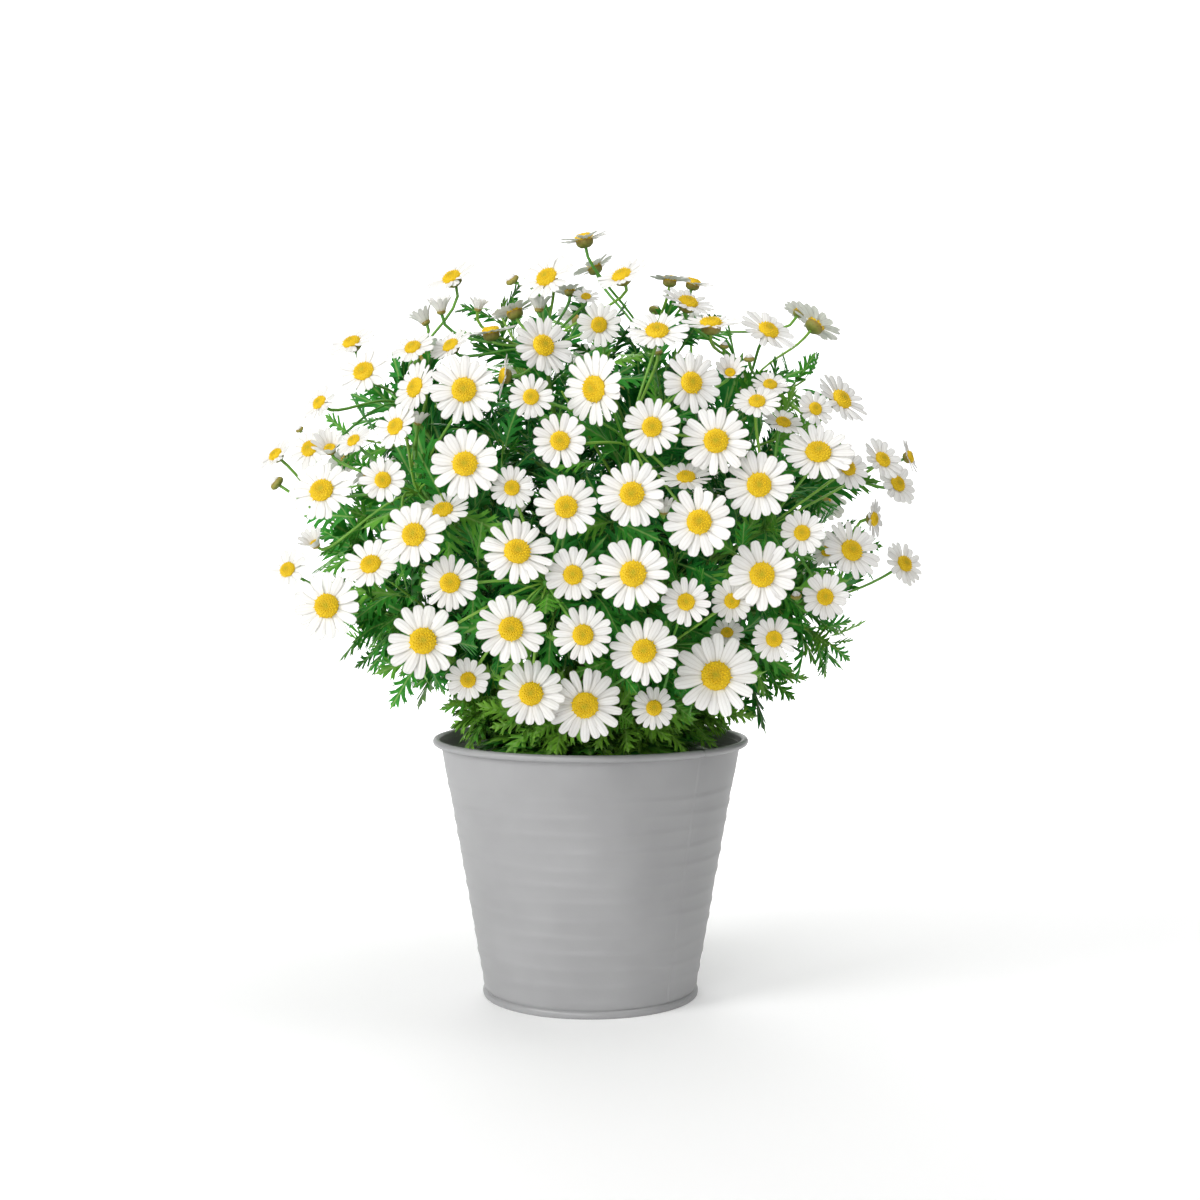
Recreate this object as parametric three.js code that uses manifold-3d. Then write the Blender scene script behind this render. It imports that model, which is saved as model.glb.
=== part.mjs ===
// A potted marguerite daisy: a round bush of white flowers in a grey ribbed steel pot.
// Millimetres, +Z up. The origin is the middle of the pot's underside, and -Y is the side that the
// reference photograph shows.
import * as THREE from "three";
import Module from "manifold-3d";

const wasm = await Module();
wasm.setup();

// Driving dimensions of the pot
const POT_SIDES = 20;
const POT_HEIGHT = 170;
const RIM_OUTER_RADIUS = 105;
const RIM_ROLL_RADIUS = 2.3;
const WALL_TOP_RADIUS = 100;
const WALL_FOOT_RADIUS = 69.5;
const WALL_THICKNESS = 1.5;
const BEAD_HEIGHT = 4;
const BEAD_PROUD = 1.3;
const BEAD_ROUNDING = 0.8;
const RIB_COUNT = 13;
const RIB_PITCH = 10.9;
const RIB_DEPTH = 0.8;
const FIRST_RIB = 9;
const BASE_THICKNESS = 2.4;
const SEAT_GAP = 0.3;
const SOIL_TOP = 150;
const SOIL_EDGE_DROP = 3;
const SOIL_ROUGHNESS = 2;
const TRUNK_HOLE_RADIUS = 8.4;
const TRUNK_HOLE_FLOOR = 128;

// Driving dimensions of the bush: the flowers sit on a dome, and the shoots spread from one point
const DOME_RADIUS = 205;
const DOME_DEPTH = 190;
const DOME_MIDDLE = 300;
const DOME_RISE = 180;
const DOME_DROP = 125;
const DOME_POWER = 2.2;
const CROWN = new THREE.Vector3(0, 0, 235);
const CROWN_RADIUS = 15;
const COLLAR = new THREE.Vector3(0, 0, 176);
const COLLAR_RADIUS = 12;
const TRUNK_TAPER = 0.75;
const HIGH_SHOOT_COUNT = 22;
const LOWEST_RISE = -0.1;
const LOW_SHOOT_COUNT = 7;
const LOW_SHOOT_RISE = 0.26;
const LOW_SHOOT_REACH = 68;
const STALK_SPACE = 52;
const STALK_RADIUS = 1.1;
const STALK_DETOURS = [7, 12];
const STALK_PROBES = 12;
const STRAIGHT_STALK = 0.55;
const KNOT_LENGTH = 8;
const KNOT_RADIUS = 5.4;
const KNOT_FOOT_RADIUS = 1.8;
const ROOT_SINK = 1;
const ROOT_RING = 0.66;
const FIRST_SHOOT_TURN = 0.3;

// Driving dimensions of the leaves
const LEAVES_HIGH = 4;
const LEAVES_LOW = 6;
const LEAF_ATTEMPTS = 24;
const LEAF_CLEARANCE = 0.5;
const LEAF_THICKNESS = 1.2;
const LEAF_LENGTH = 46;
const LEAF_LENGTH_RANGE = 18;
const LEAF_SHRINK = 0.4;
const LOW_LEAF_SHARE = 0.75;
const LEAF_SINK = 3;
const HIGHEST_LEAF = 0.95;
const LEAF_STEP = 0.1;
const LEAF_STEP_JITTER = 0.06;
const LEAF_TURN = 2.4;
const SHOOT_TURN = 0.9;
const LEAF_TURN_JITTER = 0.7;
const ATTEMPT_TURN = 0.04;
const LEAST_LEAF_PITCH = 24;
const LEAF_PITCH_RANGE = 36;
const LEAST_DROOP = 0.1;
const DROOP_RANGE = 0.2;
const LEAF_FOLD = 0.2;

// Driving dimensions of a flower, as shares of its radius, and its petals' lift in radians
const DISC_SHARE = 0.35;
const DISC_RISE = 0.2;
const CUP_DEPTH = 0.34;
const PETAL_GAP = 0.13;
const PETAL_REACH_SPREAD = 0.06;
const PETAL_LIFT_SPREAD = 0.06;
const PETAL_RUN = 0.65;
const BUD_SIDES = 4;
const LARGE_FLOWER_RADIUS = 16.5;
const PETAL_ROOT_THICKNESS = 1.3;
const OPEN_LIFT = 0.13;
const HALF_OPEN_LIFT = 0.95;

// Half of a leaf's edge from its root to its tip, as shares of its length along and across it:
// a lobe, a notch and the last lobe. Then the place of its rib's knee.
const LEAF_EDGE = [
  [0.5, 0.28],
  [0.56, 0.09],
  [0.84, 0.22],
];
const LEAF_KNEE = 0.46;

// A shoot's slim core: shares along it, and its radius as a share of the distance from its origin
const CORE_PROFILE = [
  [0, 0.12],
  [0.4, 0.105],
  [0.85, 0.06],
  [1, 0.015],
];

// How the hidden flowers follow those of the near side
const NEAR_DEPTH = 70;
const FLANK_REACH = 110;
const FLANK_TURN = 40;
const TURN_JITTER = 7;
const HEIGHT_JITTER = 8;
const OUTWARD_SHARE = 0.55;
const PUSH_STEP = 3;
const MOST_PUSHES = 16;

// The photograph's frame: the place of the pot's axis and of the eye's level, in its pixels
const AXIS_COLUMN = 590.5;
const EYE_LINE = 523;
const MM_PER_PIXEL = 2 / 3;
const EYE_DISTANCE = 1233;
const EYE_HEIGHT = 312;

const WHITE = new THREE.Color("#f7f6f4");
const YELLOW = new THREE.Color("#e3b50c");
const CUP_GREEN = new THREE.Color("#8b9338");
const STALK_GREEN = new THREE.Color("#7fa843");
const LEAF_GREENS = ["#2f6b2c", "#3f7f34", "#1f5a30"].map((hex) => new THREE.Color(hex));
const CORE_GREEN = new THREE.Color("#1d4423");
const BARK = new THREE.Color("#6b5a3c");
const STEEL = new THREE.Color("#a9a9ab");
const SOIL_BROWN = new THREE.Color("#3a2a20");
const PALETTE = [
  WHITE,
  YELLOW,
  CUP_GREEN,
  STALK_GREEN,
  CORE_GREEN,
  BARK,
  STEEL,
  SOIL_BROWN,
  ...LEAF_GREENS,
];

// Corners nearer than this to the straight line or flat face that they lie in are left out, in mm
const FLAT_ENOUGH = 0.01;

// The flowers as read off the photograph, as
// [column, row, width] in pixels, [tilt, lean] in degrees, and mm that it lies behind the dome.
// Tilt 0 faces the viewer and 90 is edge-on. Lean is the way it tips: 0 up, 90 right, -90 left.
const OPEN_FLOWERS = [
  [464, 390, 71, 12, -30, 0],
  [595, 389, 76, 40, -90, 0],
  [543, 346, 64, 36, 45, 0],
  [465, 464, 71, 10, -30, 0],
  [560, 441, 56, 8, 0, 0],
  [531, 397, 46, 8, 0, 0],
  [657, 332, 66, 57, 0, 0],
  [691, 383, 63, 25, 60, 0],
  [652, 427, 58, 8, 0, 0],
  [716, 441, 70, 8, 0, 0],
  [759, 485, 70, 8, 20, 0],
  [632, 494, 70, 8, 0, 0],
  [699, 522, 71, 8, 0, 0],
  [566, 507, 65, 8, 0, 0],
  [517, 552, 75, 28, 20, 0],
  [414, 535, 68, 22, -40, 0],
  [443, 511, 61, 55, -20, 0],
  [512, 488, 45, 8, 0, 0],
  [383, 480, 47, 8, -30, 0],
  [450, 583, 59, 10, 0, 0],
  [573, 575, 57, 8, 0, 0],
  [633, 574, 75, 8, 0, 0],
  [762, 575, 72, 10, 10, 0],
  [686, 602, 50, 8, 0, 0],
  [732, 601, 45, 8, 0, 0],
  [423, 641, 76, 8, -20, 0],
  [511, 629, 70, 8, 0, 0],
  [583, 635, 60, 8, 0, 0],
  [644, 651, 69, 8, 0, 0],
  [716, 676, 84, 8, 0, 0],
  [774, 639, 47, 8, 20, 0],
  [825, 597, 48, 10, 60, 0],
  [468, 680, 45, 8, 0, 0],
  [531, 694, 68, 10, 0, 0],
  [585, 705, 75, 12, 180, 0],
  [654, 708, 45, 10, 0, 0],
  [327, 606, 70, 18, -60, 0],
  [371, 565, 60, 40, -25, 0],
  [322, 491, 68, 35, -35, 0],
  [396, 427, 52, 48, -55, 0],
  [416, 388, 60, 58, -65, 0],
  [364, 372, 60, 45, -35, 0],
  [413, 348, 48, 58, -25, 20],
  [451, 346, 48, 65, -35, 40],
  [818, 453, 73, 42, 10, 0],
  [851, 551, 64, 38, 50, 0],
  [802, 533, 46, 8, 10, 0],
  [757, 402, 48, 48, 0, 0],
  [815, 409, 40, 38, 50, 0],
  [841, 400, 62, 60, 48, 0],
  [768, 331, 60, 60, 30, 0],
  [711, 324, 62, 78, 0, 0],
  [599, 325, 46, 10, 0, 30],
  [547, 278, 61, 52, -35, 0],
  [622, 276, 56, 68, -25, -25],
  [688, 303, 57, 70, 20, 0],
  [882, 460, 48, 53, 50, 0],
  [897, 484, 48, 52, 60, -30],
  [904, 564, 48, 50, 60, 0],
  [847, 468, 50, 45, 50, 15],
  [288, 570, 46, 42, -50, 0],
  [320, 403, 44, 62, -50, 0],
  [276, 455, 42, 68, -45, 0],
  [352, 343, 52, 70, -25, 20],
  [452, 278, 54, 70, -30, 15],
  [584, 239, 53, 97, -12, -10],
  [594, 267, 45, 103, -25, 45],
  [670, 280, 42, 98, 5, 50],
  [693, 283, 45, 85, 15, 30],
  [816, 324, 57, 115, 40, 20],
  [799, 312, 34, 120, 25, 50],
  [491, 332, 52, 92, -10, 60],
  [514, 311, 50, 105, -20, 60],
  [504, 376, 45, 85, -80, 20],
  [770, 385, 40, 55, 10, 18],
  [310, 449, 50, 45, -50, 25],
  [354, 441, 40, 60, -40, 15],
  [686, 478, 54, 60, 0, 25],
  [586, 297, 28, 55, 0, 60],
  [727, 633, 36, 40, 0, 30],
  [873, 519, 40, 70, 90, 30],
  [783, 423, 44, 60, 20, 30],
  [570, 291, 34, 110, 0, 60],
  [828, 551, 40, 45, -30, 30],
  [909, 457, 36, 80, 70, 30],
];
const HALF_OPEN_FLOWERS = [
  [330, 449, 35, 45, -20, 0],
  [315, 544, 28, 55, -35, 0],
  [730, 373, 30, 35, 0, 0],
  [664, 511, 25, 70, 0, 15],
  [539, 308, 28, 95, 0, 40],
  [441, 310, 28, 85, -10, 30],
  [478, 308, 22, 85, 10, 50],
  [418, 422, 22, 80, 10, 25],
  [425, 321, 28, 98, -30, 45],
];
const BUDS = [
  [513, 281, 15, 80, -35, 5],
  [300, 430, 9, 70, -35, 10],
  [278, 484, 17, 90, -50, 0],
  [796, 597, 12, 60, 0, 15],
  [749, 360, 12, 80, 0, 20],
  [724, 347, 10, 80, 10, 30],
  [658, 353, 10, 80, -10, 30],
];

// Collects coloured triangles and turns them into one closed solid, in which each face keeps the
// number of its colour through every cut and join.
class Facets {
  constructor() {
    this.values = [];
    this.shades = [];
  }
  triangle(a, b, c, colour) {
    for (const p of [a, b, c]) this.values.push(p.x, p.y, p.z);
    this.shades.push(PALETTE.indexOf(colour));
  }
  solid() {
    const vertProperties = new Float32Array(this.values);
    const triVerts = Uint32Array.from({ length: vertProperties.length / 3 }, (_, i) => i);
    const faceID = new Uint32Array(this.shades);
    const mesh = new wasm.Mesh({ numProp: 3, vertProperties, triVerts, faceID });
    mesh.merge();
    return new wasm.Manifold(mesh);
  }
}

// A repeatable number from 0 to 1 for a pair of whole numbers.
function draw(index, channel) {
  const wave = Math.sin(index * 12.9898 + channel * 78.233) * 43758.5453;
  return wave - Math.floor(wave);
}

function spread(index, channel, most) {
  return (2 * draw(index, channel) - 1) * most;
}

// A unit vector square to axis, as near to the hint as can be.
function squareTo(axis, hint) {
  const across = hint.clone().addScaledVector(axis, -hint.dot(axis));
  if (across.lengthSq() < 1e-6) return squareTo(axis, new THREE.Vector3(0.3, 0.9, 0.2));
  return across.normalize();
}

// Points round a circle, anticlockwise as seen against axis, starting at the direction start.
function ring(centre, axis, start, radius, sides) {
  const side = new THREE.Vector3().crossVectors(axis, start);
  return Array.from({ length: sides }, (_, i) => {
    const angle = (2 * Math.PI * i) / sides;
    return centre
      .clone()
      .addScaledVector(start, radius * Math.cos(angle))
      .addScaledVector(side, radius * Math.sin(angle));
  });
}

// The wall between a lower and an upper ring, which may differ in their number of points.
function stitch(facets, lower, upper, colour) {
  let i = 0;
  let j = 0;
  while (i < lower.length || j < upper.length) {
    const a = lower[i % lower.length];
    const b = upper[j % upper.length];
    if (j >= upper.length || (i < lower.length && (i + 1) / lower.length <= (j + 1) / upper.length)) {
      facets.triangle(a, lower[(i + 1) % lower.length], b, colour);
      i += 1;
    } else {
      facets.triangle(a, upper[(j + 1) % upper.length], b, colour);
      j += 1;
    }
  }
}

function capStart(facets, points, colour) {
  for (let i = 1; i + 1 < points.length; i += 1) {
    facets.triangle(points[0], points[i + 1], points[i], colour);
  }
}

function capEnd(facets, points, colour) {
  for (let i = 1; i + 1 < points.length; i += 1) {
    facets.triangle(points[0], points[i], points[i + 1], colour);
  }
}

// A closed tube through stations of { at, axis, radius }, with flat ends.
function tube(facets, stations, sides, colour) {
  let start = squareTo(stations[0].axis, new THREE.Vector3(0, 0, 1));
  const rings = stations.map(({ at, axis, radius }) => {
    start = squareTo(axis, start);
    return ring(at, axis, start, radius, sides);
  });
  capStart(facets, rings[0], colour);
  for (let i = 0; i + 1 < rings.length; i += 1) {
    stitch(facets, rings[i], rings[i + 1], colour);
  }
  capEnd(facets, rings.at(-1), colour);
}

// Solids joined in one, without the corners that shape nothing, in their own colours or in one.
function fused(solids, colour) {
  const mesh = solids.reduce((whole, part) => whole.add(part)).getMesh();
  const { vertProperties, triVerts, numProp } = mesh;
  const faceID = colour ? mesh.faceID.map(() => PALETTE.indexOf(colour)) : mesh.faceID;
  const whole = new wasm.Mesh({ numProp, vertProperties, triVerts, faceID });
  return new wasm.Manifold(whole).simplify(FLAT_ENOUGH);
}

// A mesh of its own, in its own colours, from a solid.
function meshOf(name, solid, finish) {
  const { vertProperties, triVerts, faceID, numProp } = solid.getMesh();
  const corners = new Float32Array(triVerts.length * 3);
  const colours = new Float32Array(triVerts.length * 3);
  triVerts.forEach((vertex, i) => {
    corners.set(vertProperties.subarray(vertex * numProp, vertex * numProp + 3), i * 3);
    PALETTE[faceID[Math.floor(i / 3)]].toArray(colours, i * 3);
  });
  const geometry = new THREE.BufferGeometry();
  geometry.setAttribute("position", new THREE.BufferAttribute(corners, 3));
  geometry.setAttribute("color", new THREE.BufferAttribute(colours, 3));
  geometry.computeVertexNormals();
  const mesh = new THREE.Mesh(geometry, finish);
  mesh.name = name;
  return mesh;
}

// The pot

function lathe(profile, colour, wobble = () => 0) {
  const facets = new Facets();
  const up = new THREE.Vector3(0, 0, 1);
  const front = new THREE.Vector3(1, 0, 0);
  const rings = profile.map(([radius, height], row) => {
    if (radius === 0) return [new THREE.Vector3(0, 0, height)];
    const points = ring(new THREE.Vector3(0, 0, height), up, front, radius, POT_SIDES);
    points.forEach((point, i) => (point.z += wobble(row, i)));
    return points;
  });
  for (let i = 0; i + 1 < rings.length; i += 1) {
    const [from, to] = [rings[i], rings[i + 1]];
    for (let k = 0; k < POT_SIDES; k += 1) {
      const next = (k + 1) % POT_SIDES;
      if (from.length > 1) facets.triangle(from[k], from[next], to[next % to.length], colour);
      if (to.length > 1) facets.triangle(from[k % from.length], to[next], to[k], colour);
    }
  }
  return facets.solid();
}

// The outside of the wall leans out evenly from the foot to under the rim.
function wallRadius(height) {
  const share = (height - BEAD_HEIGHT) / (POT_HEIGHT - 2 * RIM_ROLL_RADIUS - BEAD_HEIGHT);
  return WALL_FOOT_RADIUS + share * (WALL_TOP_RADIUS - WALL_FOOT_RADIUS);
}

function wallInside(height) {
  return wallRadius(height) - RIB_DEPTH - WALL_THICKNESS;
}

function potWall() {
  const profile = [
    [WALL_FOOT_RADIUS - WALL_THICKNESS - RIB_DEPTH, 0],
    [WALL_FOOT_RADIUS + BEAD_PROUD - BEAD_ROUNDING, 0],
    [WALL_FOOT_RADIUS + BEAD_PROUD, BEAD_HEIGHT / 3],
    [WALL_FOOT_RADIUS + BEAD_PROUD - 0.2, BEAD_HEIGHT * 0.8],
    [wallRadius(BEAD_HEIGHT), BEAD_HEIGHT + BEAD_ROUNDING],
  ];
  for (let i = 0; i < RIB_COUNT; i += 1) {
    const foot = FIRST_RIB + i * RIB_PITCH;
    profile.push([wallRadius(foot) - RIB_DEPTH, foot]);
    profile.push([wallRadius(foot + RIB_PITCH / 2) + RIB_DEPTH / 2, foot + RIB_PITCH / 2]);
  }
  const plainFoot = FIRST_RIB + RIB_COUNT * RIB_PITCH;
  profile.push([wallRadius(plainFoot) - RIB_DEPTH, plainFoot]);
  const rollCentre = [RIM_OUTER_RADIUS - RIM_ROLL_RADIUS, POT_HEIGHT - RIM_ROLL_RADIUS];
  for (const degrees of [-130, -50, 20, 90, 160]) {
    const angle = THREE.MathUtils.degToRad(degrees);
    profile.push([
      rollCentre[0] + RIM_ROLL_RADIUS * Math.cos(angle),
      rollCentre[1] + RIM_ROLL_RADIUS * Math.sin(angle),
    ]);
  }
  const rollFoot = POT_HEIGHT - 3 * RIM_ROLL_RADIUS;
  profile.push([wallInside(rollFoot), rollFoot]);
  profile.push([wallInside(BEAD_HEIGHT), BEAD_HEIGHT]);
  profile.push(profile[0]);
  return lathe(profile, STEEL);
}

function potBase() {
  const radius = WALL_FOOT_RADIUS - WALL_THICKNESS - RIB_DEPTH - SEAT_GAP;
  return lathe([[0, 0], [radius, 0], [radius, BASE_THICKNESS], [0, BASE_THICKNESS]], STEEL);
}

function soil() {
  const floor = BASE_THICKNESS + SEAT_GAP;
  const foot = [wallInside(BEAD_HEIGHT) - SEAT_GAP, floor];
  const edge = SOIL_TOP - SOIL_EDGE_DROP;
  const shoulder = [wallInside(edge) - SEAT_GAP, edge];
  const profile = [
    [0, floor],
    foot,
    [foot[0], BEAD_HEIGHT],
    shoulder,
    [shoulder[0] * 0.72, SOIL_TOP],
    [shoulder[0] * 0.38, SOIL_TOP + 2],
    [TRUNK_HOLE_RADIUS, SOIL_TOP + 1],
    [TRUNK_HOLE_RADIUS, TRUNK_HOLE_FLOOR],
    [0, TRUNK_HOLE_FLOOR],
  ];
  const crumbly = (row, i) => (row === 4 || row === 5 ? spread(row * 100 + i, 3, SOIL_ROUGHNESS) : 0);
  return lathe(profile, SOIL_BROWN, crumbly);
}

// The plan of the bush

// How far a point lies out from the dome's middle: 1 is on the dome.
function domeLevel(point) {
  const rise = point.z - DOME_MIDDLE;
  const share = Math.abs(rise) / (rise > 0 ? DOME_RISE : DOME_DROP);
  const power = (value) => Math.pow(Math.abs(value), DOME_POWER);
  return power(point.x / DOME_RADIUS) + power(point.y / DOME_DEPTH) + power(share);
}

// The distance from the crown to the dome along a direction, by halving.
function domeReach(direction) {
  let [near, far] = [0, 500];
  for (let i = 0; i < 40; i += 1) {
    const middle = (near + far) / 2;
    const level = domeLevel(CROWN.clone().addScaledVector(direction, middle));
    if (level < 1) near = middle;
    else far = middle;
  }
  return near;
}

// The point seen at a pixel of the photograph, at a depth along Y.
function seenAt(column, row, depth) {
  const scale = (MM_PER_PIXEL * (EYE_DISTANCE + depth)) / EYE_DISTANCE;
  return new THREE.Vector3(
    (column - AXIS_COLUMN) * scale,
    depth,
    EYE_HEIGHT - (row - EYE_LINE) * scale,
  );
}

// The depth at which the view through a pixel meets the near side of the dome, or 0 past its edge.
function domeDepth(column, row) {
  let depth = 0;
  for (let i = 0; i < 12; i += 1) {
    const point = seenAt(column, row, depth);
    const left = 1 - domeLevel(new THREE.Vector3(point.x, 0, point.z));
    depth = left > 0 ? -DOME_DEPTH * Math.pow(left, 1 / DOME_POWER) : 0;
  }
  return depth;
}

function flowerFromPhoto([column, row, width, tilt, lean, behind], kind) {
  const depth = domeDepth(column, row) + behind;
  const at = seenAt(column, row, depth);
  const toEye = new THREE.Vector3(0, -EYE_DISTANCE, EYE_HEIGHT).sub(at).normalize();
  const up = squareTo(toEye, new THREE.Vector3(0, 0, 1));
  const right = new THREE.Vector3().crossVectors(up, toEye);
  const [tip, turn] = [tilt, lean].map(THREE.MathUtils.degToRad);
  const facing = toEye
    .clone()
    .multiplyScalar(Math.cos(tip))
    .addScaledVector(up, Math.sin(tip) * Math.cos(turn))
    .addScaledVector(right, Math.sin(tip) * Math.sin(turn));
  const width_mm = (width * MM_PER_PIXEL * (EYE_DISTANCE + depth)) / EYE_DISTANCE;
  return { kind, at, facing, inward: toEye.negate(), radius: width_mm / 2 };
}

// A flower of the hidden side: one of the near side turned about the pot's axis, facing more outward.
function turnedFlower(flower, degrees, index) {
  const upright = new THREE.Vector3(0, 0, 1);
  const angle = THREE.MathUtils.degToRad(degrees + spread(index, 1, TURN_JITTER));
  const at = flower.at.clone().applyAxisAngle(upright, angle);
  at.z += spread(index, 2, HEIGHT_JITTER);
  const outward = at.clone().sub(CROWN).normalize();
  const facing = flower.facing.clone().applyAxisAngle(upright, angle);
  facing.lerp(outward, OUTWARD_SHARE).normalize();
  return { ...flower, at, facing, inward: facing.clone().negate(), hidden: true };
}

// Every flower of the bush: those of the photograph, then the far side and the far flanks.
function allFlowers() {
  const seen = [
    ...OPEN_FLOWERS.map((row) => flowerFromPhoto(row, "open")),
    ...HALF_OPEN_FLOWERS.map((row) => flowerFromPhoto(row, "half")),
    ...BUDS.map((row) => flowerFromPhoto(row, "bud")),
  ];
  const hidden = [];
  seen.forEach((flower, index) => {
    if (index % 2) return;
    const { x, y } = flower.at;
    if (y < -NEAR_DEPTH) hidden.push(turnedFlower(flower, 180, index));
    else if (Math.abs(x) > FLANK_REACH) {
      hidden.push(turnedFlower(flower, Math.sign(x) * FLANK_TURN, index));
    }
  });
  return settled([...seen, ...hidden]);
}

// Points on a flower's petal tips, on its petals and at the foot of its cup.
function outlinePoints(flower) {
  const start = squareTo(flower.facing, new THREE.Vector3(0, 0, 1));
  return [
    ...ring(flower.at, flower.facing, start, flower.radius, 16),
    ...ring(flower.at, flower.facing, start, flower.radius * 0.6, 8),
    flower.at,
    cupFoot(flower),
  ];
}

// Whether a point lies in the flat room that a flower takes, or in that of its disc and cup.
function inFlower(point, flower, margin) {
  const offset = point.clone().sub(flower.at);
  const height = offset.dot(flower.facing);
  const reach = Math.sqrt(Math.max(0, offset.lengthSq() - height * height));
  const inPetals = reach < flower.radius + margin && Math.abs(height - 0.5) < 2 + margin;
  const inCup = reach < flower.radius * 0.42 + margin
    && height > -flower.radius * 0.4 - margin
    && height < flower.radius * 0.25 + margin;
  return inPetals || inCup;
}

// Pushes each flower in from where it is seen until it is clear of those before it.
function settled(flowers) {
  const placed = [];
  for (const flower of flowers) {
    const clashes = () => placed.some((other) => {
      const room = flower.radius + other.radius + 12;
      if (flower.at.distanceTo(other.at) > room) return false;
      return outlinePoints(flower).some((point) => inFlower(point, other, 2))
        || outlinePoints(other).some((point) => inFlower(point, flower, 2));
    });
    for (let step = 0; step < MOST_PUSHES && clashes(); step += 1) {
      flower.at.addScaledVector(flower.inward, PUSH_STEP);
    }
    placed.push(flower);
  }
  return placed;
}

function cupFoot(flower) {
  return flower.at.clone().addScaledVector(flower.facing, -CUP_DEPTH * flower.radius);
}

// One shoot, which starts at a flat of the crown or collar round its origin and ends in its tip.
function shootFrom(origin, knobRadius, rise, angle, reach) {
  const flat = Math.sqrt(1 - rise * rise);
  const direction = new THREE.Vector3(flat * Math.cos(angle), flat * Math.sin(angle), rise);
  const length = reach ?? domeReach(direction) - STALK_SPACE;
  const tip = origin.clone().addScaledVector(direction, length);
  return { origin, direction, from: knobRadius + SEAT_GAP, reach: length, tip, flowers: [] };
}

// The high shoots spread evenly from the crown, and a ring of low ones fills the pot's mouth.
function allShoots() {
  const golden = Math.PI * (3 - Math.sqrt(5));
  const high = Array.from({ length: HIGH_SHOOT_COUNT }, (_, i) => {
    const rise = LOWEST_RISE + ((1 - LOWEST_RISE) * (i + 0.5)) / HIGH_SHOOT_COUNT;
    return shootFrom(CROWN, CROWN_RADIUS, rise, i * golden + FIRST_SHOOT_TURN);
  });
  const low = Array.from({ length: LOW_SHOOT_COUNT }, (_, i) => {
    const angle = (2 * Math.PI * (i + 0.75)) / LOW_SHOOT_COUNT;
    return shootFrom(COLLAR, COLLAR_RADIUS, LOW_SHOOT_RISE, angle, LOW_SHOOT_REACH);
  });
  return [...high, ...low];
}

// The ways that a stalk may take from its root in the spray's knot to the foot of the cup: straight
// where the flower faces that way, and else by a bend, which may also lie to one side.
function stalkRoutes(shoot, flower, root) {
  const foot = cupFoot(flower);
  const chord = foot.clone().sub(root);
  const ease = 0.3 * chord.length();
  const middle = root.clone().add(foot).multiplyScalar(0.5)
    .addScaledVector(shoot.direction, 0.375 * ease)
    .addScaledVector(flower.facing, -0.375 * ease);
  const run = chord.clone().normalize();
  const start = squareTo(run, new THREE.Vector3(0, 0, 1));
  const bends = STALK_DETOURS.flatMap((size) => ring(middle, run, start, size, 6));
  const straight = run.dot(flower.facing) > STRAIGHT_STALK ? [[root, foot]] : [];
  return [...straight, ...[middle, ...bends].map((bend) => [root, bend, foot])];
}

function pointsAlong(route) {
  const parts = route.length - 1;
  const steps = Math.round(STALK_PROBES / parts);
  return route.slice(1).flatMap((end, part) =>
    Array.from({ length: steps }, (_, i) => (i + 1) / steps)
      .filter((share) => (part + share) / parts > 0.1 && (part + share) / parts < 0.95)
      .map((share) => route[part].clone().lerp(end, share)));
}

// Gives each flower to the nearest shoot.
function shareOut(shoots, flowers) {
  flowers.forEach((flower, index) => {
    const nearness = (shoot) => shoot.tip.distanceTo(cupFoot(flower));
    const shoot = shoots.reduce((best, next) => (nearness(next) < nearness(best) ? next : best));
    shoot.flowers.push({ ...flower, index });
  });
}

// The roots of a shoot's stalks: on a ring in its knot, in the order in which they stand round it.
function setRoots(shoot) {
  const start = squareTo(shoot.direction, new THREE.Vector3(0, 0, 1));
  const side = new THREE.Vector3().crossVectors(shoot.direction, start);
  const turnOf = (flower) => {
    const offset = cupFoot(flower).sub(shoot.tip);
    return Math.atan2(offset.dot(side), offset.dot(start));
  };
  shoot.flowers.sort((a, b) => turnOf(a) - turnOf(b));
  const centre = shoot.tip.clone().addScaledVector(shoot.direction, SEAT_GAP + KNOT_LENGTH - ROOT_SINK);
  const count = shoot.flowers.length;
  shoot.flowers.forEach((flower, order) => {
    const turn = count > 1 ? turnOf(shoot.flowers[0]) + (2 * Math.PI * order) / count : 0;
    flower.root = centre
      .clone()
      .addScaledVector(start, ROOT_RING * KNOT_RADIUS * Math.cos(turn))
      .addScaledVector(side, ROOT_RING * KNOT_RADIUS * Math.sin(turn));
  });
}

// Bends each stalk clear of the other flowers and of the stalks that are placed before it.
function bendStalks(shoots, flowers) {
  const taken = [];
  for (const shoot of shoots) {
    for (const flower of shoot.flowers) {
      const meets = (point) =>
        flowers.some((other) => other.at !== flower.at && inFlower(point, other, STALK_RADIUS + 0.6))
        || taken.some((near) => near.shoot !== shoot && near.point.distanceTo(point) < 4 * STALK_RADIUS);
      const routes = stalkRoutes(shoot, flower, flower.root).map((route) => ({
        route,
        hits: pointsAlong(route).filter(meets).length,
      }));
      flower.route = routes.reduce((a, b) => (b.hits < a.hits ? b : a)).route;
      taken.push(...pointsAlong(flower.route).map((point) => ({ shoot, point })));
    }
  }
}

// The flowers

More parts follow.
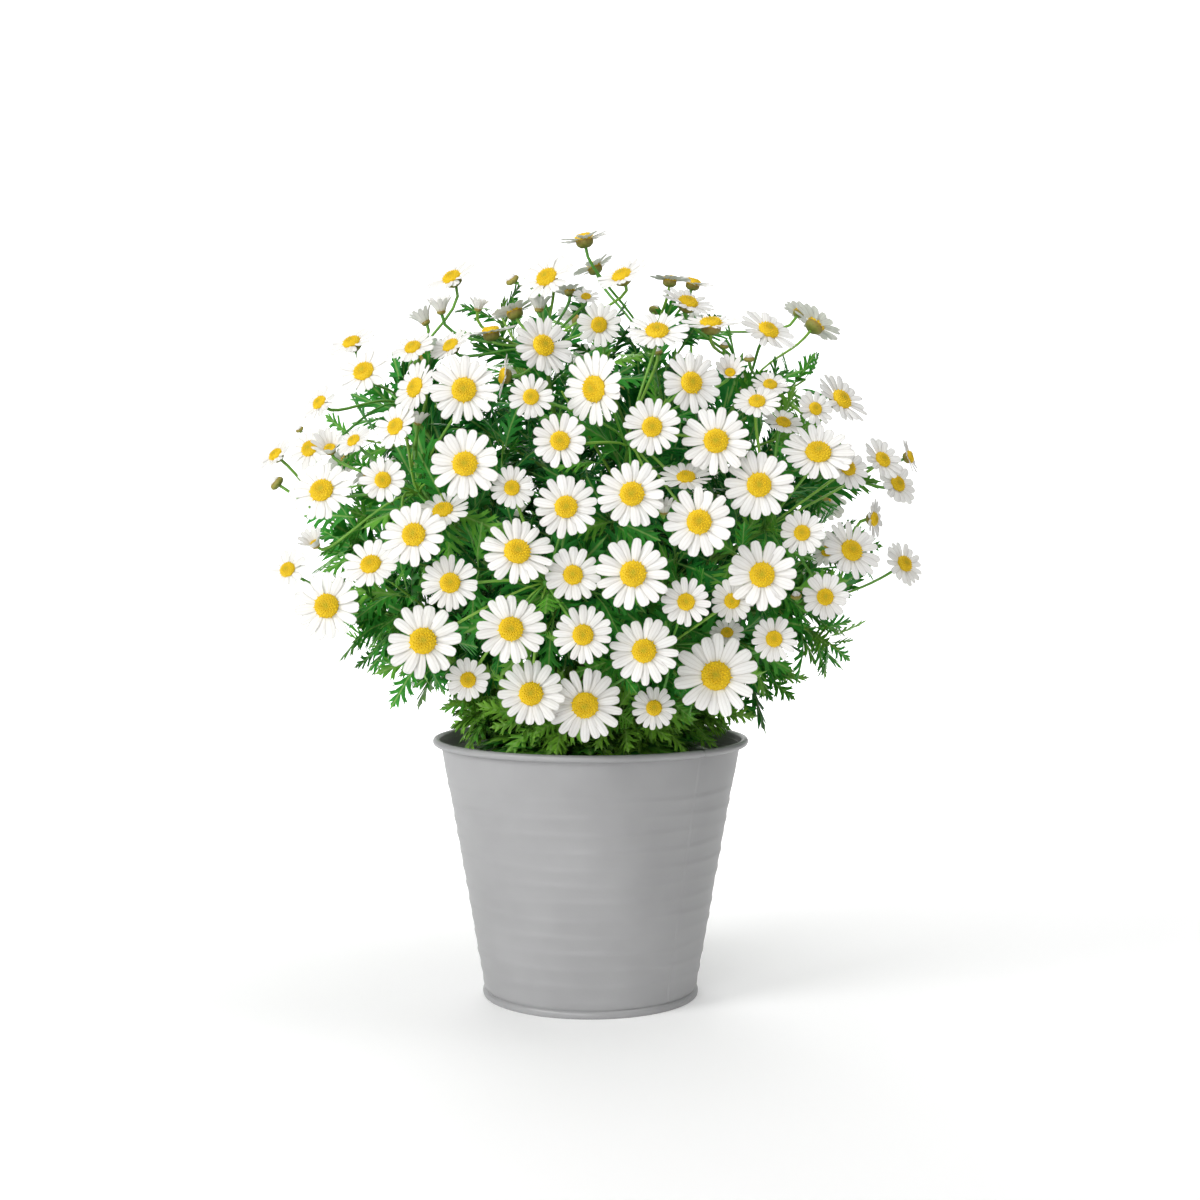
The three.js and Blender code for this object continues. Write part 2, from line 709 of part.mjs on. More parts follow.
// The ring of petals round the disc: each a wedge with a blunt tip, its root as thick as the ring.
function petals(facets, flower, start, upper, lower) {
  const { at, facing, radius, kind, index } = flower;
  const side = new THREE.Vector3().crossVectors(facing, start);
  const count = upper.length;
  const lift = kind === "half" ? HALF_OPEN_LIFT : OPEN_LIFT;
  for (let i = 0; i < count; i += 1) {
    const next = (i + 1) % count;
    const seed = index * 31 + i;
    const reach = radius * (1 - PETAL_REACH_SPREAD * draw(seed, 5));
    const rise = reach * PETAL_RUN * Math.tan(lift + spread(seed, 6, PETAL_LIFT_SPREAD));
    const [a, b] = [i + PETAL_GAP, i + 1 - PETAL_GAP].map((turn) => {
      const angle = (2 * Math.PI * turn) / count;
      return at
        .clone()
        .addScaledVector(start, reach * Math.cos(angle))
        .addScaledVector(side, reach * Math.sin(angle))
        .addScaledVector(facing, rise);
    });
    facets.triangle(upper[i], a, b, WHITE);
    facets.triangle(upper[i], b, upper[next], WHITE);
    facets.triangle(lower[i], b, a, WHITE);
    facets.triangle(lower[i], lower[next], b, WHITE);
    facets.triangle(upper[i], lower[i], a, WHITE);
    facets.triangle(upper[next], b, lower[next], WHITE);
  }
}

// One flower with its stalk, as one closed surface.
function flowerSolid(flower) {
  const { at, facing, radius, kind, route, index } = flower;
  const facets = new Facets();
  const run = route.at(-1).clone().sub(route[0]).normalize();
  const stations = route.map((place, i) => ({
    at: place,
    axis: i + 1 === route.length || route.length === 2 ? facing : run,
    radius: STALK_RADIUS * (0.75 + (0.45 * i) / (route.length - 1)),
  }));
  const hint = new THREE.Vector3(spread(index, 7, 1), spread(index, 8, 1), 0.4);
  let start = squareTo(stations[0].axis, hint);
  const rings = stations.map((station) => {
    start = squareTo(station.axis, start);
    return ring(station.at, station.axis, start, station.radius, 3);
  });
  capStart(facets, rings[0], STALK_GREEN);
  for (let i = 0; i + 1 < rings.length; i += 1) {
    stitch(facets, rings[i], rings[i + 1], STALK_GREEN);
  }
  const top = rings.at(-1);
  const level = (height) => at.clone().addScaledVector(facing, height);
  if (kind === "bud") {
    const belly = ring(at, facing, start, radius, BUD_SIDES);
    const shoulder = ring(level(radius * 0.7), facing, start, radius * 0.65, BUD_SIDES);
    stitch(facets, top, belly, CUP_GREEN);
    stitch(facets, belly, shoulder, CUP_GREEN);
    stitch(facets, shoulder, [level(radius * 1.1)], WHITE);
    return facets.solid();
  }
  const count = kind === "open" && radius > LARGE_FLOWER_RADIUS && !flower.hidden ? 7 : 6;
  const discRadius = radius * DISC_SHARE;
  const lower = ring(level(-PETAL_ROOT_THICKNESS), facing, start, discRadius * 0.95, count);
  const upper = ring(at, facing, start, discRadius, count);
  stitch(facets, top, lower, CUP_GREEN);
  petals(facets, flower, start, upper, lower);
  stitch(facets, upper, [level(radius * DISC_RISE)], YELLOW);
  return facets.solid();
}

function flowerSpray(shoot) {
  const knot = new Facets();
  const foot = shoot.tip.clone().addScaledVector(shoot.direction, SEAT_GAP);
  const top = foot.clone().addScaledVector(shoot.direction, KNOT_LENGTH);
  tube(knot, [
    { at: foot, axis: shoot.direction, radius: KNOT_FOOT_RADIUS },
    { at: top, axis: shoot.direction, radius: KNOT_RADIUS },
  ], 6, STALK_GREEN);
  return fused([knot.solid(), ...shoot.flowers.map(flowerSolid)]);
}

// The shoots and their leaves

function spinePoint(shoot, share) {
  const { origin, direction, from, reach } = shoot;
  return origin.clone().addScaledVector(direction, from + share * (reach - from));
}

function coreRadius(shoot, share) {
  const after = CORE_PROFILE.findIndex(([place]) => place >= share);
  const stationRadius = ([place, slope]) => slope * spinePoint(shoot, place).distanceTo(shoot.origin);
  if (after <= 0) return stationRadius(CORE_PROFILE[0]);
  const [low, high] = [CORE_PROFILE[after - 1], CORE_PROFILE[after]];
  const blend = (share - low[0]) / (high[0] - low[0]);
  return stationRadius(low) + blend * (stationRadius(high) - stationRadius(low));
}

function shootCore(shoot) {
  const facets = new Facets();
  const stations = CORE_PROFILE.map(([share]) => ({
    at: spinePoint(shoot, share),
    axis: shoot.direction,
    radius: coreRadius(shoot, share),
  }));
  tube(facets, stations, 5, CORE_GREEN);
  return facets.solid();
}

// One lobed leaf: a thin blade, split alike on both faces, that is thickest along its rib.
function leafSolid({ root, along, normal, length, droop, colour }, swell = 0) {
  const facets = new Facets();
  const side = new THREE.Vector3().crossVectors(normal, along);
  const point = ([share, width], lift = 0) =>
    root
      .clone()
      .addScaledVector(along, share * length)
      .addScaledVector(side, width * length)
      .addScaledVector(normal, lift - length * (droop * share * share + LEAF_FOLD * Math.abs(width)));
  const half = LEAF_THICKNESS / 2 + swell;
  const start = point([0, 0]);
  const tip = point([1, 0]);
  for (const hand of [1, -1]) {
    const edge = LEAF_EDGE.map(([share, width]) => point([share, hand * width * (1 + swell / 10)]));
    for (const face of [1, -1]) {
      const knee = point([LEAF_KNEE, 0], face * half);
      const outline = [start, ...edge, tip];
      for (let i = 0; i + 1 < outline.length; i += 1) {
        if (hand * face > 0) facets.triangle(knee, outline[i + 1], outline[i], colour);
        else facets.triangle(knee, outline[i], outline[i + 1], colour);
      }
    }
  }
  return facets.solid();
}

// A leaf as it would grow at one try, from its place on the shoot and a few draws.
function leafAt(shoot, shootIndex, round, attempt) {
  const seed = shootIndex * 977 + round * 89 + attempt;
  const share = Math.min(0.98, HIGHEST_LEAF - LEAF_STEP * round + spread(seed, 11, LEAF_STEP_JITTER));
  const { direction, origin } = shoot;
  const start = squareTo(direction, new THREE.Vector3(0, 0, 1));
  const side = new THREE.Vector3().crossVectors(direction, start);
  const turnJitter = spread(seed, 12, LEAF_TURN_JITTER + attempt * ATTEMPT_TURN);
  const turn = round * LEAF_TURN + shootIndex * SHOOT_TURN + turnJitter;
  const outward = start.clone().multiplyScalar(Math.cos(turn)).addScaledVector(side, Math.sin(turn));
  const pitch = THREE.MathUtils.degToRad(LEAST_LEAF_PITCH + LEAF_PITCH_RANGE * draw(seed, 13));
  const along = direction
    .clone()
    .multiplyScalar(Math.cos(pitch))
    .addScaledVector(outward, Math.sin(pitch));
  const across = new THREE.Vector3().crossVectors(direction, outward);
  const inset = Math.max(0, 0.75 * coreRadius(shoot, share) - LEAF_SINK);
  const fullLength = LEAF_LENGTH + LEAF_LENGTH_RANGE * draw(seed, 14) - attempt * LEAF_SHRINK;
  return {
    root: spinePoint(shoot, share).addScaledVector(outward, inset),
    along,
    normal: new THREE.Vector3().crossVectors(along, across),
    length: fullLength * (origin === COLLAR ? LOW_LEAF_SHARE : 1),
    droop: LEAST_DROOP + DROOP_RANGE * draw(seed, 15),
    colour: LEAF_GREENS[seed % LEAF_GREENS.length],
  };
}

function boxesMeet(a, b) {
  return [0, 1, 2].every((axis) => a.min[axis] < b.max[axis] && b.min[axis] < a.max[axis]);
}

// Whether a solid is clear of all the others.
function isClear(solid, others) {
  const box = solid.boundingBox();
  return others.every((other) => {
    if (!boxesMeet(box, other.boundingBox())) return true;
    const shared = solid.intersect(other);
    const empty = shared.isEmpty();
    shared.delete();
    return empty;
  });
}

// Grows the leaves round by round. A leaf that would cross another node or leaf is tried again
// nearby, and left out when no try is clear.
function growLeaves(shoots, cores, fixed) {
  const leaves = shoots.map(() => []);
  for (let round = 0; round < LEAVES_LOW; round += 1) {
    shoots.forEach((shoot, index) => {
      if (round >= LEAVES_HIGH && shoot.origin === CROWN) return;
      for (let attempt = 0; attempt < LEAF_ATTEMPTS; attempt += 1) {
        const plan = leafAt(shoot, index, round, attempt);
        const probe = leafSolid(plan, LEAF_CLEARANCE);
        const others = [...fixed, ...cores.filter((_, i) => i !== index), ...leaves.flat()];
        const clear = isClear(probe, others);
        probe.delete();
        if (clear) {
          leaves[index].push(leafSolid(plan));
          break;
        }
      }
    });
  }
  return leaves;
}

// A knobbly swelling of the trunk, with a flat for each shoot that starts there.
function knob(centre, radius, shoots) {
  const up = new THREE.Vector3(0, 0, 1);
  const level = (share) => centre.clone().addScaledVector(up, share * radius);
  const ball = new Facets();
  tube(ball, [
    { at: level(-1.1), axis: up, radius: radius * 0.6 },
    { at: level(-0.5), axis: up, radius: radius * 1.4 },
    { at: level(1.4), axis: up, radius: radius * 1.4 },
  ], 6, BARK);
  return shoots.filter(({ origin }) => origin === centre).reduce((solid, { direction }) => {
    const inward = direction.clone().negate();
    return solid.trimByPlane(inward.toArray(), inward.dot(centre) - radius);
  }, ball.solid());
}

// The trunk stands in the hole of the soil, has a collar where the low shoots start and ends in the
// crown, where the high ones start.
function woodyBase(shoots) {
  const trunk = new Facets();
  const thick = TRUNK_HOLE_RADIUS * Math.cos(Math.PI / POT_SIDES) - SEAT_GAP;
  const up = new THREE.Vector3(0, 0, 1);
  const station = (z, radius) => ({ at: new THREE.Vector3(0, 0, z), axis: up, radius });
  tube(trunk, [
    station(TRUNK_HOLE_FLOOR + SEAT_GAP, thick),
    station(SOIL_TOP + 6, thick * 0.9),
    station(CROWN.z - CROWN_RADIUS / 2, thick * TRUNK_TAPER),
  ], 6, BARK);
  const knobs = [knob(CROWN, CROWN_RADIUS, shoots), knob(COLLAR, COLLAR_RADIUS, shoots)];
  return fused([trunk.solid(), ...knobs], BARK);
}

function label(name, index) {
  return name + "_" + String(index + 1).padStart(2, "0");
}

function plantFinish() {
  return new THREE.MeshStandardMaterial({ vertexColors: true, roughness: 0.7, metalness: 0 });
}

function steelFinish() {
  return new THREE.MeshStandardMaterial({ color: STEEL, roughness: 0.42, metalness: 0.35 });
}

function soilFinish() {
  return new THREE.MeshStandardMaterial({ color: SOIL_BROWN, roughness: 0.95, metalness: 0 });
}

const plant = new THREE.Group();
const wall = potWall();
const earth = soil();
const shoots = allShoots();
const flowers = allFlowers();
shareOut(shoots, flowers);
shoots.forEach(setRoots);
bendStalks(shoots, flowers);
const wood = woodyBase(shoots);
const cores = shoots.map(shootCore);
const sprays = shoots.map((shoot) => (shoot.flowers.length ? flowerSpray(shoot) : null));
const leaves = growLeaves(shoots, cores, [wall, earth, wood, ...sprays.filter(Boolean)]);

plant.add(meshOf("pot_wall", wall, steelFinish()));
plant.add(meshOf("pot_base", potBase(), steelFinish()));
plant.add(meshOf("soil", earth, soilFinish()));
plant.add(meshOf("woody_base", wood, plantFinish()));
shoots.forEach((_, index) => {
  const shoot = fused([cores[index], ...leaves[index]]);
  plant.add(meshOf(label("leafy_shoot", index), shoot, plantFinish()));
  if (sprays[index]) plant.add(meshOf(label("flower_spray", index), sprays[index], plantFinish()));
});

export default plant;
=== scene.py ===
import logging
import math
from dataclasses import dataclass, field
from enum import Enum

import bpy
import numpy as np
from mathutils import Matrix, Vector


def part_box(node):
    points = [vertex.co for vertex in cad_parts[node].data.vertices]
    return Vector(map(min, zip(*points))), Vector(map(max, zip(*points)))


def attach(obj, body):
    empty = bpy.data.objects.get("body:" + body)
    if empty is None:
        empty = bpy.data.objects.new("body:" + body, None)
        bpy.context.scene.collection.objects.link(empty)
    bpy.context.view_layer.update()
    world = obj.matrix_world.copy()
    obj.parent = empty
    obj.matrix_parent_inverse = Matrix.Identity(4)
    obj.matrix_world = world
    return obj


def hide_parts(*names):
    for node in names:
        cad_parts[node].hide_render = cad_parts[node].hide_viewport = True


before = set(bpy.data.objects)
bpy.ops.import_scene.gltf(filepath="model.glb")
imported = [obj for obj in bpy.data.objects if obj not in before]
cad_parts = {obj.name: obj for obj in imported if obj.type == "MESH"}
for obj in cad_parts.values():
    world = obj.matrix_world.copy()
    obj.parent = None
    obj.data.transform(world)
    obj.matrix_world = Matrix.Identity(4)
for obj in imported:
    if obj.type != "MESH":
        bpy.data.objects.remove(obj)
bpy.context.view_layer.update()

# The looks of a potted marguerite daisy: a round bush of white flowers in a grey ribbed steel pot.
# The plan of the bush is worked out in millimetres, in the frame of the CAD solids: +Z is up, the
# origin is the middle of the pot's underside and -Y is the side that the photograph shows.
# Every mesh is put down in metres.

LOG = logging.getLogger("marguerite")

Array = np.ndarray
Stops = tuple[tuple[float, str], ...]
Tree = bpy.types.NodeTree
Socket = bpy.types.NodeSocket
METRES = 0.001
GOLDEN_TURN = math.pi * (3 - math.sqrt(5))
SHARP_ANGLE = math.radians(62)
UP = np.array([0.0, 0.0, 1.0])
# Directions that nothing in the bush lies along, to square others to
ASIDE = np.array([0.31, 0.83, 0.27])
ASIDE_OF_UP = np.array([0.3, 0.9, 0.2])
# The step, shift and size of the sine that all draws come from
DRAW_STEP, DRAW_SHIFT, DRAW_SIZE = 12.9898, 78.233, 43758.5453


# ---------------------------------------------------------------- numbers and directions


def draw(index: Array | float, channel: float) -> Array | float:
    """A repeatable number from 0 to 1: the fraction of a large sine.

    Args:
        index: whole number, or an array of them.
        channel: which of the item's numbers is wanted.

    Returns:
        A number from 0 to 1 for each index.
    """
    wave = np.sin(np.asarray(index, float) * DRAW_STEP + channel * DRAW_SHIFT) * DRAW_SIZE
    return wave - np.floor(wave)


def spread(index: Array | float, channel: float, most: Array | float) -> Array | float:
    """A repeatable number from -most to most."""
    return (2 * draw(index, channel) - 1) * most


def unit(vectors: Array) -> Array:
    """The same directions, each of length 1."""
    return vectors / np.linalg.norm(vectors, axis=-1, keepdims=True)


def square_to(axis: Array, hint: Array) -> Array:
    """A unit vector square to an axis, as near to a hint as can be.

    Args:
        axis: a unit vector.
        hint: the direction wanted, which isn't used where it lies along the axis.

    Returns:
        The hint less its part along the axis, at length 1.
    """
    across = hint - axis * float(hint @ axis)
    if float(across @ across) < 1e-6:
        return square_to(axis, ASIDE_OF_UP)
    return unit(across)


def even_turns(count: int) -> Array:
    """Turns at even steps once round, in radians, from 0."""
    return 2 * math.pi * np.arange(count) / count


def around(turn: Array, start: Array, side: Array) -> Array:
    """The directions at some turns: cos(turn) start + sin(turn) side."""
    return np.cos(turn)[..., None] * start + np.sin(turn)[..., None] * side


def circle(centre: Array, axis: Array, start: Array, radius: float, count: int) -> Array:
    """Points evenly round a circle, from the direction start, turning about the axis."""
    return centre + radius * around(even_turns(count), start, np.cross(axis, start))


def smooth(values: Array) -> Array:
    """Eases 0..1 in and out: 3x^2 - 2x^3, held at 0 and 1 outside."""
    held = np.clip(values, 0, 1)
    return held * held * (3 - 2 * held)


def linear(hex_colour: str) -> tuple[float, float, float, float]:
    """A colour as linear light.

    Args:
        hex_colour: the sRGB colour, as #rrggbb.

    Returns:
        Its red, green and blue from 0 to 1, and alpha 1.
    """
    parts = [int(hex_colour[i : i + 2], 16) / 255 for i in (1, 3, 5)]
    light = [p / 12.92 if p <= 0.04045 else ((p + 0.055) / 1.055) ** 2.4 for p in parts]
    return (*light, 1.0)


# ---------------------------------------------------------------- surfaces


@dataclass
class Surface:
    """Part of a piece: corners in mm, triangles, and what its finishes read at each corner."""

    corners: Array
    faces: Array
    uv: Array
    tone: Array
    finish: int | Array = 0

    @classmethod
    def repeated(
        cls, corners: Array, faces: Array, uv: Array, tone: Array, finish: int
    ) -> "Surface":
        """Many copies of one mesh, each with its own corners.

        Args:
            corners: (copies, corners, 3) places in mm.
            faces: (faces, 3) corner numbers of one copy.
            uv: (corners, 2) for one copy.
            tone: one number per copy, or (copies, corners).
            finish: which of the piece's materials it wears.

        Returns:
            One surface with all the copies.
        """
        copies, count = corners.shape[:2]
        offsets = (np.arange(copies) * count)[:, None, None]
        tones = np.broadcast_to(np.asarray(tone, float).reshape(copies, -1), (copies, count))
        return cls(
            corners.reshape(-1, 3),
            (faces[None] + offsets).reshape(-1, 3),
            np.tile(uv, (copies, 1)),
            tones.reshape(-1),
            finish,
        )


def grid_faces(numbers: Array, mirrored: bool = False) -> Array:
    """Two triangles for each cell of a grid of corner numbers: (i, j), (i+1, j), (i+1, j+1), ...

    Args:
        numbers: the grid.
        mirrored: whether to cut each cell towards the grid's nearest corner, so that two grids
            which share their outer corners also share no triangle.

    Returns:
        (faces, 3) corner numbers.
    """
    a, b = numbers[:-1, :-1], numbers[1:, :-1]
    c, d = numbers[1:, 1:], numbers[:-1, 1:]
    faces = np.stack([a, b, c, a, c, d], -1)
    if mirrored:
        i, j = np.indices(a.shape)
        crossed = (2 * i < a.shape[0]) != (2 * j < a.shape[1])
        faces = np.where(crossed[..., None], np.stack([a, b, d, b, c, d], -1), faces)
    return faces.reshape(-1, 3)


def ring_mesh(rings: int, sides: int) -> tuple[Array, Array]:
    """The faces and UV of a closed body of rings with a pole at each end.

    Corner r * sides + k is on ring r, and the last two corners are the first and the last pole.

    Args:
        rings: how many rings.
        sides: corners round each ring, turning about the body's axis.

    Returns:
        (faces, 3) corner numbers, facing out, and (corners, 2) with u once round the body and v
        from the first ring to the last.
    """
    numbers = np.arange(rings * sides).reshape(rings, sides)
    numbers = np.hstack([numbers, numbers[:, :1]])
    foot, top = rings * sides, rings * sides + 1
    first, last = numbers[0], numbers[-1]
    caps = [
        np.stack([np.full(sides, foot), first[1:], first[:-1]], 1),
        np.stack([np.full(sides, top), last[:-1], last[1:]], 1),
    ]
    u, v = np.meshgrid(np.arange(sides) / sides, np.linspace(0, 1, rings))
    uv = np.vstack([np.stack([u.ravel(), v.ravel()], 1), [[0.5, 0.0], [0.5, 1.0]]])
    return np.vstack([grid_faces(numbers.T), *caps]), uv


def tubes(centres: Array, reference: Array, radii: Array, sides: int, finish: int,
          tone: Array | float) -> Surface:
    """Closed round tubes: centre + radius (cos t reference + sin t (run x reference)) at each ring.

    Args:
        centres: (tubes, rings, 3) the middle lines.
        reference: (tubes, 3) unit vectors square to the whole of each line.
        radii: (tubes, rings) or (rings,) in mm.
        sides: corners round each ring.
        finish: which material.
        tone: one number per tube, or one for all.

    Returns:
        The tubes as one surface.
    """
    count, rings = centres.shape[:2]
    run = unit(np.gradient(centres, axis=1))
    start = np.broadcast_to(reference[:, None], centres.shape)
    start = unit(start - run * np.sum(start * run, -1, keepdims=True))
    side = np.cross(run, start)
    radii = np.broadcast_to(radii, (count, rings))[..., None, None]
    round_ = around(even_turns(sides), start[:, :, None], side[:, :, None])
    walls = (centres[:, :, None] + radii * round_).reshape(count, rings * sides, 3)
    corners = np.concatenate([walls, centres[:, :1], centres[:, -1:]], 1)
    tones = np.broadcast_to(np.asarray(tone, float), (count,))
    return Surface.repeated(corners, *ring_mesh(rings, sides), tones, finish)


def lathed(profile: Array, sides: int) -> Array:
    """Corners of a body turned about +Z, in ring_mesh's order.

    Args:
        profile: (rings, 2) radius and height, from the foot to the top.
        sides: corners round each ring.

    Returns:
        (rings * sides + 2, 3) corners, with the poles in the middle of the end rings.
    """
    turn = even_turns(sides)
    radius, height = profile[:, :1], profile[:, 1:]
    x, y = radius * np.cos(turn), radius * np.sin(turn)
    walls = np.stack([x, y, np.broadcast_to(height, x.shape)], -1).reshape(-1, 3)
    poles = [[0, 0, profile[0, 1]], [0, 0, profile[-1, 1]]]
    return np.vstack([walls, poles])


def added(name: str, data: bpy.types.ID) -> bpy.types.Object:
    """A new object in the scene, at the origin, that shows a mesh, a lamp or a camera."""
    thing = bpy.data.objects.new(name, data)
    bpy.context.scene.collection.objects.link(thing)
    return thing


def put_down(name: str, surfaces: list[Surface], finishes: list["Finish"]) -> bpy.types.Object:
    """Makes one piece of surfaces: its mesh in metres, with UV map, tone and materials.

    Args:
        name: the piece's name.
        surfaces: its parts, each with the number of its finish.
        finishes: the materials that the numbers stand for.

    Returns:
        The new object, at the origin.
    """
    starts = np.cumsum([0] + [len(s.corners) for s in surfaces[:-1]])
    corners = np.vstack([s.corners for s in surfaces]) * METRES
    faces = np.vstack([s.faces + start for s, start in zip(surfaces, starts)]).astype(np.int32)
    uv = np.vstack([s.uv for s in surfaces])
    tone = np.concatenate([s.tone for s in surfaces])
    slots = np.concatenate([np.full(len(s.faces), s.finish) for s in surfaces])

    mesh = bpy.data.meshes.new(name)
    mesh.vertices.add(len(corners))
    mesh.vertices.foreach_set("co", corners.astype(np.float32).ravel())
    mesh.loops.add(faces.size)
    mesh.loops.foreach_set("vertex_index", faces.ravel())
    mesh.polygons.add(len(faces))
    mesh.polygons.foreach_set("loop_start", np.arange(0, faces.size, 3, dtype=np.int32))
    mesh.polygons.foreach_set("material_index", slots.astype(np.int32))
    mesh.polygons.foreach_set("use_smooth", np.ones(len(faces), bool))
    mesh.update(calc_edges=True)
    mesh.set_sharp_from_angle(angle=SHARP_ANGLE)
    layer = mesh.uv_layers.new(name="UVMap")
    layer.data.foreach_set("uv", uv[faces.ravel()].astype(np.float32).ravel())
    attribute = mesh.attributes.new("tone", "FLOAT", "POINT")
    attribute.data.foreach_set("value", tone.astype(np.float32))
    for finish in finishes:
        mesh.materials.append(finish.material())
    LOG.info("%s: %d triangles", name, len(faces))
    return added(name, mesh)


def stand_in(piece: bpy.types.Object, slot: str, *nodes: str) -> None:
    """Lets a piece ride on the one body, in place of some CAD nodes.

    Args:
        piece: the finished object.
        slot: not used.
        nodes: the names of the nodes that it replaces.
    """
    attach(piece, "root")
    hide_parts(*nodes)


# ---------------------------------------------------------------- the plan of the bush


# The flowers as read off the photograph, as
# [column, row, width] in pixels, [tilt, lean] in degrees, and mm that it lies behind the dome.
# Tilt 0 faces the viewer and 90 is edge-on. Lean is the way it tips: 0 up, 90 right, -90 left.
OPEN_FLOWERS = (
    (464, 390, 71, 12, -30, 0), (595, 389, 76, 40, -90, 0), (543, 346, 64, 36, 45, 0),
    (465, 464, 71, 10, -30, 0), (560, 441, 56, 8, 0, 0), (531, 397, 46, 8, 0, 0),
    (657, 332, 66, 57, 0, 0), (691, 383, 63, 25, 60, 0), (652, 427, 58, 8, 0, 0),
    (716, 441, 70, 8, 0, 0), (759, 485, 70, 8, 20, 0), (632, 494, 70, 8, 0, 0),
    (699, 522, 71, 8, 0, 0), (566, 507, 65, 8, 0, 0), (517, 552, 75, 28, 20, 0),
    (414, 535, 68, 22, -40, 0), (443, 511, 61, 55, -20, 0), (512, 488, 45, 8, 0, 0),
    (383, 480, 47, 8, -30, 0), (450, 583, 59, 10, 0, 0), (573, 575, 57, 8, 0, 0),
    (633, 574, 75, 8, 0, 0), (762, 575, 72, 10, 10, 0), (686, 602, 50, 8, 0, 0),
    (732, 601, 45, 8, 0, 0), (423, 641, 76, 8, -20, 0), (511, 629, 70, 8, 0, 0),
    (583, 635, 60, 8, 0, 0), (644, 651, 69, 8, 0, 0), (716, 676, 84, 8, 0, 0),
    (774, 639, 47, 8, 20, 0), (825, 597, 48, 10, 60, 0), (468, 680, 45, 8, 0, 0),
    (531, 694, 68, 10, 0, 0), (585, 705, 75, 12, 180, 0), (654, 708, 45, 10, 0, 0),
    (327, 606, 70, 18, -60, 0), (371, 565, 60, 40, -25, 0), (322, 491, 68, 35, -35, 0),
    (396, 427, 52, 48, -55, 0), (416, 388, 60, 58, -65, 0), (364, 372, 60, 45, -35, 0),
    (413, 348, 48, 58, -25, 20), (451, 346, 48, 65, -35, 40), (818, 453, 73, 42, 10, 0),
    (851, 551, 64, 38, 50, 0), (802, 533, 46, 8, 10, 0), (757, 402, 48, 48, 0, 0),
    (815, 409, 40, 38, 50, 0), (841, 400, 62, 60, 48, 0), (768, 331, 60, 60, 30, 0),
    (711, 324, 62, 78, 0, 0), (599, 325, 46, 10, 0, 30), (547, 278, 61, 52, -35, 0),
    (622, 276, 56, 68, -25, -25), (688, 303, 57, 70, 20, 0), (882, 460, 48, 53, 50, 0),
    (897, 484, 48, 52, 60, -30), (904, 564, 48, 50, 60, 0), (847, 468, 50, 45, 50, 15),
    (288, 570, 46, 42, -50, 0), (320, 403, 44, 62, -50, 0), (276, 455, 42, 68, -45, 0),
    (352, 343, 52, 70, -25, 20), (452, 278, 54, 70, -30, 15), (584, 239, 53, 97, -12, -10),
    (594, 267, 45, 103, -25, 45), (670, 280, 42, 98, 5, 50), (693, 283, 45, 85, 15, 30),
    (816, 324, 57, 115, 40, 20), (799, 312, 34, 120, 25, 50), (491, 332, 52, 92, -10, 60),
    (514, 311, 50, 105, -20, 60), (504, 376, 45, 85, -80, 20), (770, 385, 40, 55, 10, 18),
    (310, 449, 50, 45, -50, 25), (354, 441, 40, 60, -40, 15), (686, 478, 54, 60, 0, 25),
    (586, 297, 28, 55, 0, 60), (727, 633, 36, 40, 0, 30), (873, 519, 40, 70, 90, 30),
    (783, 423, 44, 60, 20, 30), (570, 291, 34, 110, 0, 60), (828, 551, 40, 45, -30, 30),
    (909, 457, 36, 80, 70, 30),
)
HALF_OPEN_FLOWERS = (
    (330, 449, 35, 45, -20, 0), (315, 544, 28, 55, -35, 0), (730, 373, 30, 35, 0, 0),
    (664, 511, 25, 70, 0, 15), (539, 308, 28, 95, 0, 40), (441, 310, 28, 85, -10, 30),
    (478, 308, 22, 85, 10, 50), (418, 422, 22, 80, 10, 25), (425, 321, 28, 98, -30, 45),
)
BUDS = (
    (513, 281, 15, 80, -35, 5), (300, 430, 9, 70, -35, 10), (278, 484, 17, 90, -50, 0),
    (796, 597, 12, 60, 0, 15), (749, 360, 12, 80, 0, 20), (724, 347, 10, 80, 10, 30),
    (658, 353, 10, 80, -10, 30),
)

# The photograph's frame: the place of the pot's axis and of the eye's level, in its pixels
AXIS_COLUMN = 590.5
EYE_LINE = 523.0
MM_PER_PIXEL = 2 / 3
EYE_DISTANCE = 1233.0
EYE_HEIGHT = 312.0

CROWN = np.array([0.0, 0.0, 235.0])
CROWN_RADIUS = 15.0
COLLAR = np.array([0.0, 0.0, 176.0])
COLLAR_RADIUS = 12.0
SEAT_GAP = 0.3
KNOT_LENGTH = 8.0
KNOT_RADIUS = 5.4
STALK_RADIUS = 1.1
CUP_DEPTH = 0.34
# The room of a flower: the petals lie about a level, within some mm of it, and the disc and cup
# fill a short drum about the axis, in shares of the flower's radius
PETAL_LEVEL, PETAL_ROOM = 0.5, 2.0
DRUM_RADIUS, DRUM_BELOW, DRUM_ABOVE = 0.42, 0.4, 0.25
# A leaf hides the petals when it is this near in front of them, and this near their middle
HIDING_HEIGHT, HIDING_SHARE = 45.0, 0.85


class Kind(Enum):
    """How far a flower has opened."""

    OPEN = "open"
    HALF = "half"
    BUD = "bud"


